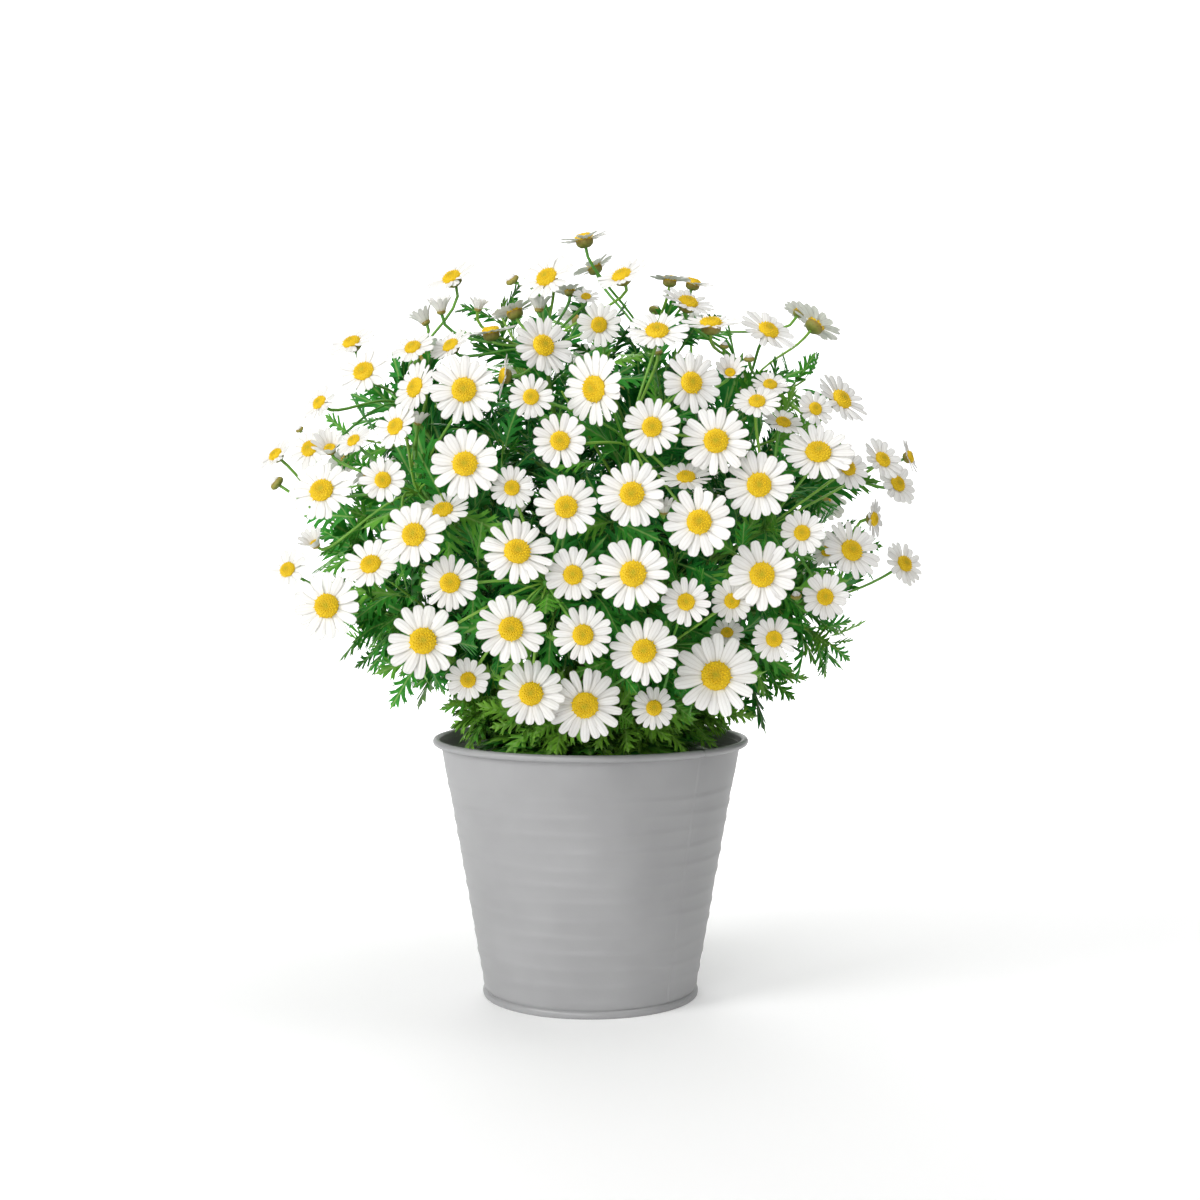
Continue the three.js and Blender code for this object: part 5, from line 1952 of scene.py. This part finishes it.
@dataclass
class PotWall:
    """The pot's wall: one ribbed sheet of steel, rolled over a wire at the rim.

    Its outside runs up from the bead at the foot, its inside follows at the sheet's thickness.
    """

    height: float = 170.0
    rim_radius: float = 105.0
    roll: float = 2.3
    top_radius: float = 100.0
    foot_radius: float = 69.5
    thickness: float = 1.5
    bead_height: float = 4.4
    bead_proud: float = 2.0
    bead_bulge: float = 1.1
    pitch: float = 10.9
    first_rib: float = 9.0
    rib_count: int = 13
    rib_depth: float = 0.75
    seam_turn: float = -46.0
    seam_step: float = 0.5
    seam_fade: float = 0.3
    nick_depth: float = 0.9
    nick_width: float = 0.011
    sides: int = 216
    rings: int = 132
    inside_start: int = 4
    inside_step: int = 2

    def straight(self, z: Array | float) -> Array | float:
        """The wall's radius without its ribs."""
        return self.foot_radius + (self.top_radius - self.foot_radius) * z / self.height

    def inner(self, z: Array | float) -> Array | float:
        """The radius inside the wall, without its ribs."""
        return self.straight(z) - self.thickness

    def ribs(self, z: float, turn: Array) -> Array:
        """How far the rolled ribs stand in or out.

        Each rib is a ridge with a bell's section, sharper above than below. Its depth and
        its height drift slowly round the pot, so it fades where it was rolled less deep.

        Args:
            z: the height in mm.
            turn: the turns round the pot.

        Returns:
            The offset in mm at each turn.
        """
        count = (z - self.first_rib) / self.pitch
        inside = smooth(count + 0.4) * smooth(self.rib_count - 0.1 - count)
        rib = np.floor(count + 0.5)
        drift = 0.05 * np.sin(2 * turn + 1.3 * rib) + 0.04 * np.sin(5 * turn + 2.1 * rib)
        depth = 0.72 + 0.22 * np.sin(3 * turn + 1.9 * rib) + 0.14 * np.sin(7 * turn + 4.1 * rib)
        offset = count + drift - np.round(count + drift)
        ridge = np.exp(-((offset / np.where(offset > 0, 0.13, 0.28)) ** 2))
        return self.rib_depth * inside * (0.8 * depth * ridge - 0.6)

    @staticmethod
    def dents(z: float, turn: Array) -> Array:
        """The slight unevenness of a thin sheet, in mm."""
        return (
            0.10 * np.sin(4 * turn + 0.05 * z)
            + 0.08 * np.sin(9 * turn - 0.11 * z + 1.0)
            + 0.05 * np.sin(17 * turn + 0.23 * z + 2.0)
        )

    def turns(self) -> Array:
        """The turns round the pot at which the section is drawn.

        Returns:
            Even steps, with extra columns at the seam.
        """
        even = np.linspace(0, 2 * math.pi, self.sides, endpoint=False)
        seam = math.radians(self.seam_turn) % (2 * math.pi)
        near = seam + np.array([-0.012, -0.005, 0.005, 0.012])
        return np.sort(np.concatenate([even, near]))

    def past_seam(self, turn: Array) -> Array:
        """How far each turn lies past the seam."""
        return turn - math.radians(self.seam_turn) % (2 * math.pi)

    def seam(self, turn: Array) -> Array:
        """A step of the overlapping sheet end, in mm: sudden on one side, fading on the other."""
        past, fade = self.past_seam(turn), self.seam_fade
        return np.where((past > 0) & (past < fade), self.seam_step * (1 - past / fade) ** 2, 0.0)

    def profile(self, turn: Array) -> Array:
        """The whole section, from the foot up over the rim and down again.

        Args:
            turn: the turns round the pot.

        Returns:
            (points, turns, 2) radius and height in mm.
        """
        roll_middle = self.rim_radius - self.roll
        rim_z = self.height - self.roll
        under_roll = self.height - 2 * self.roll
        heights = np.linspace(self.bead_height + 1.5, under_roll, self.rings)
        columns: list[Array] = []

        def point(radius: Array | float, height: Array | float) -> None:
            """Adds one ring of the section."""
            columns.append(np.stack(np.broadcast_arrays(radius, height, turn)[:2], -1))

        lap = self.seam(turn)
        nick = self.nick_depth * np.exp(-((self.past_seam(turn) / self.nick_width) ** 2))
        bead = self.straight(0.0) + self.bead_proud
        most = 0.42
        point(self.straight(0.0) - 0.3, 0.0)
        for share in np.linspace(-most, most, 7) * math.pi:
            level = self.bead_height * (0.5 + 0.5 * math.sin(share) / math.sin(most * math.pi))
            point(bead - self.bead_bulge * (1 - math.cos(share)), level)
        point(self.straight(self.bead_height) - 0.4, self.bead_height + 0.5)
        for z in heights:
            fade = max(min(1.0, (under_roll - z) / 6), 0.0)
            uneven = self.ribs(z, turn) + (self.dents(z, turn) + lap) * fade
            point(self.straight(z) + uneven, z)
        wobble = 0.12 * np.sin(3 * turn + 0.4) + 0.08 * np.sin(11 * turn) + 0.4 * lap
        for step in np.linspace(-0.72, 1.06, 15) * math.pi:
            point(
                roll_middle + (self.roll + 0.3 * lap - nick) * math.cos(step) + wobble - 0.2,
                rim_z + (self.roll - nick) * math.sin(step) - 0.04,
            )
        for z in heights[::-1][self.inside_start :: self.inside_step]:
            point(self.inner(z) + self.ribs(z, turn) * 0.8, z)
        point(self.inner(0.0), 0.0)
        return np.stack(columns)

    def build(self) -> None:
        """Puts the wall down in place of its CAD solid."""
        turn = self.turns()
        section = self.profile(turn)
        radius, height = section[..., 0], section[..., 1]
        corners = np.stack([radius * np.cos(turn), radius * np.sin(turn), height], -1)
        rows, columns = radius.shape
        numbers = np.arange(rows * columns).reshape(rows, columns)
        numbers = np.vstack([numbers, numbers[:1]])
        faces = grid_faces(np.hstack([numbers, numbers[:, :1]]).T)
        uv = np.stack(np.meshgrid(turn / (2 * math.pi), np.linspace(0, 1, rows)), -1)
        inner_rings = len(range(self.inside_start, self.rings, self.inside_step))
        inside = (faces // columns).min(1) >= rows - 1 - inner_rings
        tone = np.full(rows * columns, 0.5)
        # The inner faces wear the lighter copy of the steel: painted light in the shaded mouth
        wall = Surface(corners.reshape(-1, 3), faces, uv.reshape(-1, 2), tone, inside)
        stand_in(put_down("pot_wall_detail", [wall], [STEEL, PAINTED_LIGHT_INSIDE]), "pot_steel", "pot_wall")


@dataclass
class Soil:
    """The potting soil: a crumbly top, higher in the middle, on a plain plug below."""

    pot: PotWall
    top: float = 150.0
    sunk: float = 1.6
    edge_drop: float = 3.0
    edge_gap: float = 0.6
    wall_gap: float = 1.4
    foot_gap: float = 1.6
    hole_radius: float = 8.4
    hole_floor: float = 128.0
    sides: int = 120
    rings: int = 34
    lump_count: int = 260
    lump_sides: int = 6

    @staticmethod
    def relief(x: Array, y: Array) -> Array:
        """The crumbs: waves of shrinking width laid over one another.

        Args:
            x: places on the top, in mm.
            y: the same.

        Returns:
            Their height in mm.
        """
        height = np.zeros_like(x)
        for order, (width, depth) in enumerate(((31, 1.0), (13, 0.8), (6.1, 0.6), (3.3, 0.4))):
            angle = order * GOLDEN_TURN
            along = (x * math.cos(angle) + y * math.sin(angle)) * 2 * math.pi / width
            across = (y * math.cos(angle) - x * math.sin(angle)) * 2 * math.pi / width
            height += depth * np.sin(along + 0.7 * np.sin(across)) * np.cos(across + order)
        return height

    def level(self, reach: Array, edge: float) -> Array:
        """The top's height without its crumbs, which falls by the cube of the way to the edge."""
        away = (reach - self.hole_radius) / (edge - self.hole_radius)
        return self.top - self.sunk - self.edge_drop * away**3

    def build(self) -> None:
        """Puts the soil down in place of its CAD solid."""
        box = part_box("soil")
        edge = (box[1].x - box[0].x) / 2 / METRES - self.edge_gap
        foot = max(box[0].z / METRES, 0.0)
        turn = even_turns(self.sides)
        hole = self.hole_radius
        reach = hole + (edge - hole) * np.linspace(0, 1, self.rings) ** 0.9
        held = smooth((reach - hole) / 6) * smooth((edge - reach + 1.5) / 8)
        x, y = reach[:, None] * np.cos(turn), reach[:, None] * np.sin(turn)
        crumbly = self.level(reach, edge)[:, None] + self.relief(x, y) * held[:, None]
        # From the foot up the plain plug, in over the top and down into the trunk's hole
        levels = np.array([foot, foot + 0.5, self.top * 0.33, self.top * 0.66])
        gaps = np.array([self.foot_gap] + [self.wall_gap] * 3)
        plug = np.broadcast_to(levels[:, None], (len(levels), self.sides))
        height = np.vstack([plug, crumbly[::-1], np.full(self.sides, self.hole_floor)])
        radius = np.concatenate([self.pot.inner(levels) - gaps, reach[::-1], [hole]])[:, None]
        walls = np.stack([radius * np.cos(turn), radius * np.sin(turn), height], -1)
        corners = np.vstack([walls.reshape(-1, 3), [[0, 0, foot], [0, 0, self.hole_floor]]])
        earth = Surface(corners, *ring_mesh(len(walls), self.sides), np.full(len(corners), 0.5))
        stand_in(put_down("soil_detail", [earth, self.lumps(edge)], [SOIL]), "soil", "soil")

    def lumps(self, edge: float) -> Surface:
        """Loose crumbs of peat and bark, half sunk in the top.

        Args:
            edge: the top's radius in mm.

        Returns:
            The crumbs: uneven balls, some longer than others.
        """
        order = np.arange(self.lump_count)
        reach = self.hole_radius + 4 + (edge - self.hole_radius - 9) * np.sqrt(draw(order, 71))
        turn = 2 * math.pi * draw(order, 72)
        x, y = reach * np.cos(turn), reach * np.sin(turn)
        size = 1.2 + 2.4 * draw(order, 73) ** 2
        middle = np.stack([x, y, self.level(reach, edge) + self.relief(x, y)], -1)
        profile = np.array([[0.55, -0.7], [1.0, -0.15], [0.9, 0.4], [0.45, 0.72]])
        ball = lathed(profile, self.lump_sides)
        uneven = 1 + 0.25 * np.sin(order[:, None] * 1.7 + np.arange(len(ball)) * 2.9)
        yaw = (order * GOLDEN_TURN)[:, None]
        long, wide = ball[:, 0] * (1 + 0.8 * draw(order, 74)[:, None]), ball[:, 1]
        local = np.stack(
            [
                long * np.cos(yaw) - wide * np.sin(yaw), long * np.sin(yaw) + wide * np.cos(yaw),
                np.broadcast_to(ball[:, 2] * 0.7, long.shape),
            ], -1,
        )
        corners = middle[:, None] + local * uneven[..., None] * size[:, None, None]
        tone = np.full(len(order), 0.5)
        return Surface.repeated(corners, *ring_mesh(len(profile), self.lump_sides), tone, 0)


@dataclass
class WoodyBase:
    """The short trunk with its two swellings, and ridged bark."""

    stations: tuple[tuple[float, float], ...] = (
        (6.6, 128.3), (7.6, 131), (7.8, 140), (7.6, 150), (7.3, 158), (7.4, 163), (9.6, 168),
        (11.3, 173), (11.6, 178), (9.6, 184), (7.0, 190), (6.2, 200), (6.0, 212), (6.6, 219),
        (9.5, 224), (13.2, 229), (14.6, 235), (13.4, 242), (9.4, 247.5), (4.0, 249.8),
    )
    soil_top: float = 150.0
    sides: int = 30

    def build(self) -> None:
        """Puts the trunk down in place of its CAD solid."""
        radii, levels = np.array(self.stations).T
        buried = np.linspace(levels[0], self.soil_top, 8)
        heights = np.concatenate([buried, np.linspace(self.soil_top + 2, levels[-1], 56)])
        local = lathed(np.stack([np.interp(heights, levels, radii), heights], -1), self.sides)
        turn = np.arctan2(local[:, 1], local[:, 0])
        z = local[:, 2]
        ridge = 0.5 * np.sin(7 * turn + 0.05 * z) + 0.35 * np.sin(12 * turn - 0.09 * z + 1)
        knots = 0.4 * np.sin(0.45 * z + 2 * turn)
        # The bark is plain where the trunk sits in the soil's hole.
        free = smooth((z - self.soil_top + 1) / 6)
        local[:, :2] *= (1 + (ridge + knots - 0.9) * free / 11)[:, None]
        wood = Surface(local, *ring_mesh(len(heights), self.sides), np.full(len(local), 0.5))
        stand_in(put_down("woody_base_detail", [wood], [BARK]), "bark", "woody_base")


# ---------------------------------------------------------------- floor, light and camera


@dataclass(frozen=True)
class SweepFinish(Finish):
    """Matt white studio board, which glows softly behind, as if lamps of its own lit it there."""

    white: str = "#f0f0f0"
    glow: str = "#ffffff"
    glow_start: float = -0.8
    glow_end: float = 2.6

    def even(self) -> dict[str, object]:
        """The board's colour and that of its glow."""
        return {"Base Color": linear(self.white), "Emission Color": linear(self.glow)}

    def dress(self, tree: Tree) -> dict[str, Socket]:
        """The glow, which grows with the distance behind.

        Args:
            tree: the node tree.

        Returns:
            What the shader's inputs are linked to, by name.
        """
        place = add_node(tree, "TexCoord")["Object"]
        behind = add_node(tree, "SeparateXYZ", links={0: place})["Y"]
        ranged = {1: self.glow_start, 2: self.glow_end, 3: 0.0, 4: 1.0}
        glow = add_node(tree, "MapRange", ranged, {0: behind}, interpolation_type="SMOOTHSTEP")
        return {"Emission Strength": glow[0]}


@dataclass(frozen=True)
class Lamp:
    """A square soft light, in metres and watts, that faces the bush."""

    name: str
    at: tuple[float, float, float]
    size: float
    watts: float
    target: tuple[float, float, float] = (0.0, 0.0, 0.26)

    def build(self) -> None:
        """Adds the light to the scene."""
        light = bpy.data.lights.new(self.name, "AREA")
        light.size = self.size
        light.energy = self.watts
        lamp = added(self.name, light)
        lamp.location = self.at
        aim = Vector(self.target) - lamp.location
        lamp.rotation_euler = aim.to_track_quat("-Z", "Y").to_euler()


LAMPS = (
    Lamp("key_light", (-1.95, -1.5, 1.5), 1.1, 41.0),
    Lamp("right_light", (1.25, -0.7, 2.6), 1.2, 21.0),
    Lamp("front_light", (-0.7, -2.5, 0.9), 1.5, 30.0),
    Lamp("back_light", (-0.3, 2.3, 1.5), 1.2, 11.0),
    Lamp("top_light", (-0.2, 0.1, 2.4), 1.8, 13.0),
)


@dataclass
class Studio:
    """A white sweep, large soft lights and a camera at the photograph's place, in metres."""

    focal_pixels: float = 1850.0
    frame_pixels: float = 1200.0
    sensor_mm: float = 36.0
    nearest: float = 0.05
    world_strength: float = 0.21
    floor_front: float = -6.0
    floor_back: float = 4.0
    floor_half_width: float = 2.9
    bend: float = 1.2
    wall_top: float = 6.0

    def sweep(self) -> None:
        """The floor, which rises into a backdrop far behind, as one smooth sheet."""
        turns = np.linspace(0, math.pi / 2, 13)
        rise = self.bend * (1 - np.cos(turns))
        run = self.floor_back + self.bend * np.sin(turns)
        along = np.concatenate([[self.floor_front], run, [self.floor_back + self.bend]])
        height = np.concatenate([[0.0], rise, [self.wall_top]])
        x, y = np.meshgrid([-self.floor_half_width, self.floor_half_width], along)
        corners = np.stack([x, y, np.broadcast_to(height[:, None], x.shape)], -1)
        numbers = np.arange(x.size).reshape(x.shape)
        mesh = bpy.data.meshes.new("studio_sweep")
        mesh.from_pydata(corners.reshape(-1, 3).tolist(), [], grid_faces(numbers)[:, ::-1].tolist())
        mesh.polygons.foreach_set("use_smooth", np.ones(len(mesh.polygons), bool))
        mesh.materials.append(SweepFinish("studio_white", 0.9, 1.5).material())
        added("studio_sweep", mesh)

    def camera(self) -> None:
        """The camera: level, with a shift for the framing."""
        data = bpy.data.cameras.new("photo_camera")
        data.sensor_width = self.sensor_mm
        data.lens = self.focal_pixels / self.frame_pixels * self.sensor_mm
        data.shift_x = (self.frame_pixels / 2 - AXIS_COLUMN) / self.frame_pixels
        data.shift_y = (EYE_LINE - self.frame_pixels / 2) / self.frame_pixels
        data.clip_start = self.nearest
        camera = added("photo_camera", data)
        camera.location = (0.0, -EYE_DISTANCE * METRES, EYE_HEIGHT * METRES)
        camera.rotation_euler = (math.pi / 2, 0.0, 0.0)
        bpy.context.scene.camera = camera

    def build(self) -> None:
        """Sets up the whole studio."""
        self.sweep()
        for lamp in LAMPS:
            lamp.build()
        world = bpy.data.worlds.new("studio_world")
        world.use_nodes = True
        background = world.node_tree.nodes["Background"]
        background.inputs["Color"].default_value = linear("#ffffff")
        background.inputs["Strength"].default_value = self.world_strength
        bpy.context.scene.world = world
        bpy.context.scene.view_settings.view_transform = "Standard"
        self.camera()


def main() -> None:
    """Builds the scene."""
    logging.basicConfig(level=logging.INFO, format="%(message)s")
    Studio().build()
    plan = BushPlan().grow()
    pot = PotWall()
    for part in (pot, Soil(pot), WoodyBase()):
        part.build()
    base = bpy.data.objects["pot_base"]
    base.data.materials.clear()
    base.data.materials.append(STEEL.material())
    room = Room(plan)
    for number, shoot in enumerate(plan.shoots, 1):
        LeafyShoot(number, shoot, room).build()
        if shoot.flowers:
            FlowerSpray(number, shoot).build()


if __name__ == "__main__":
    main()
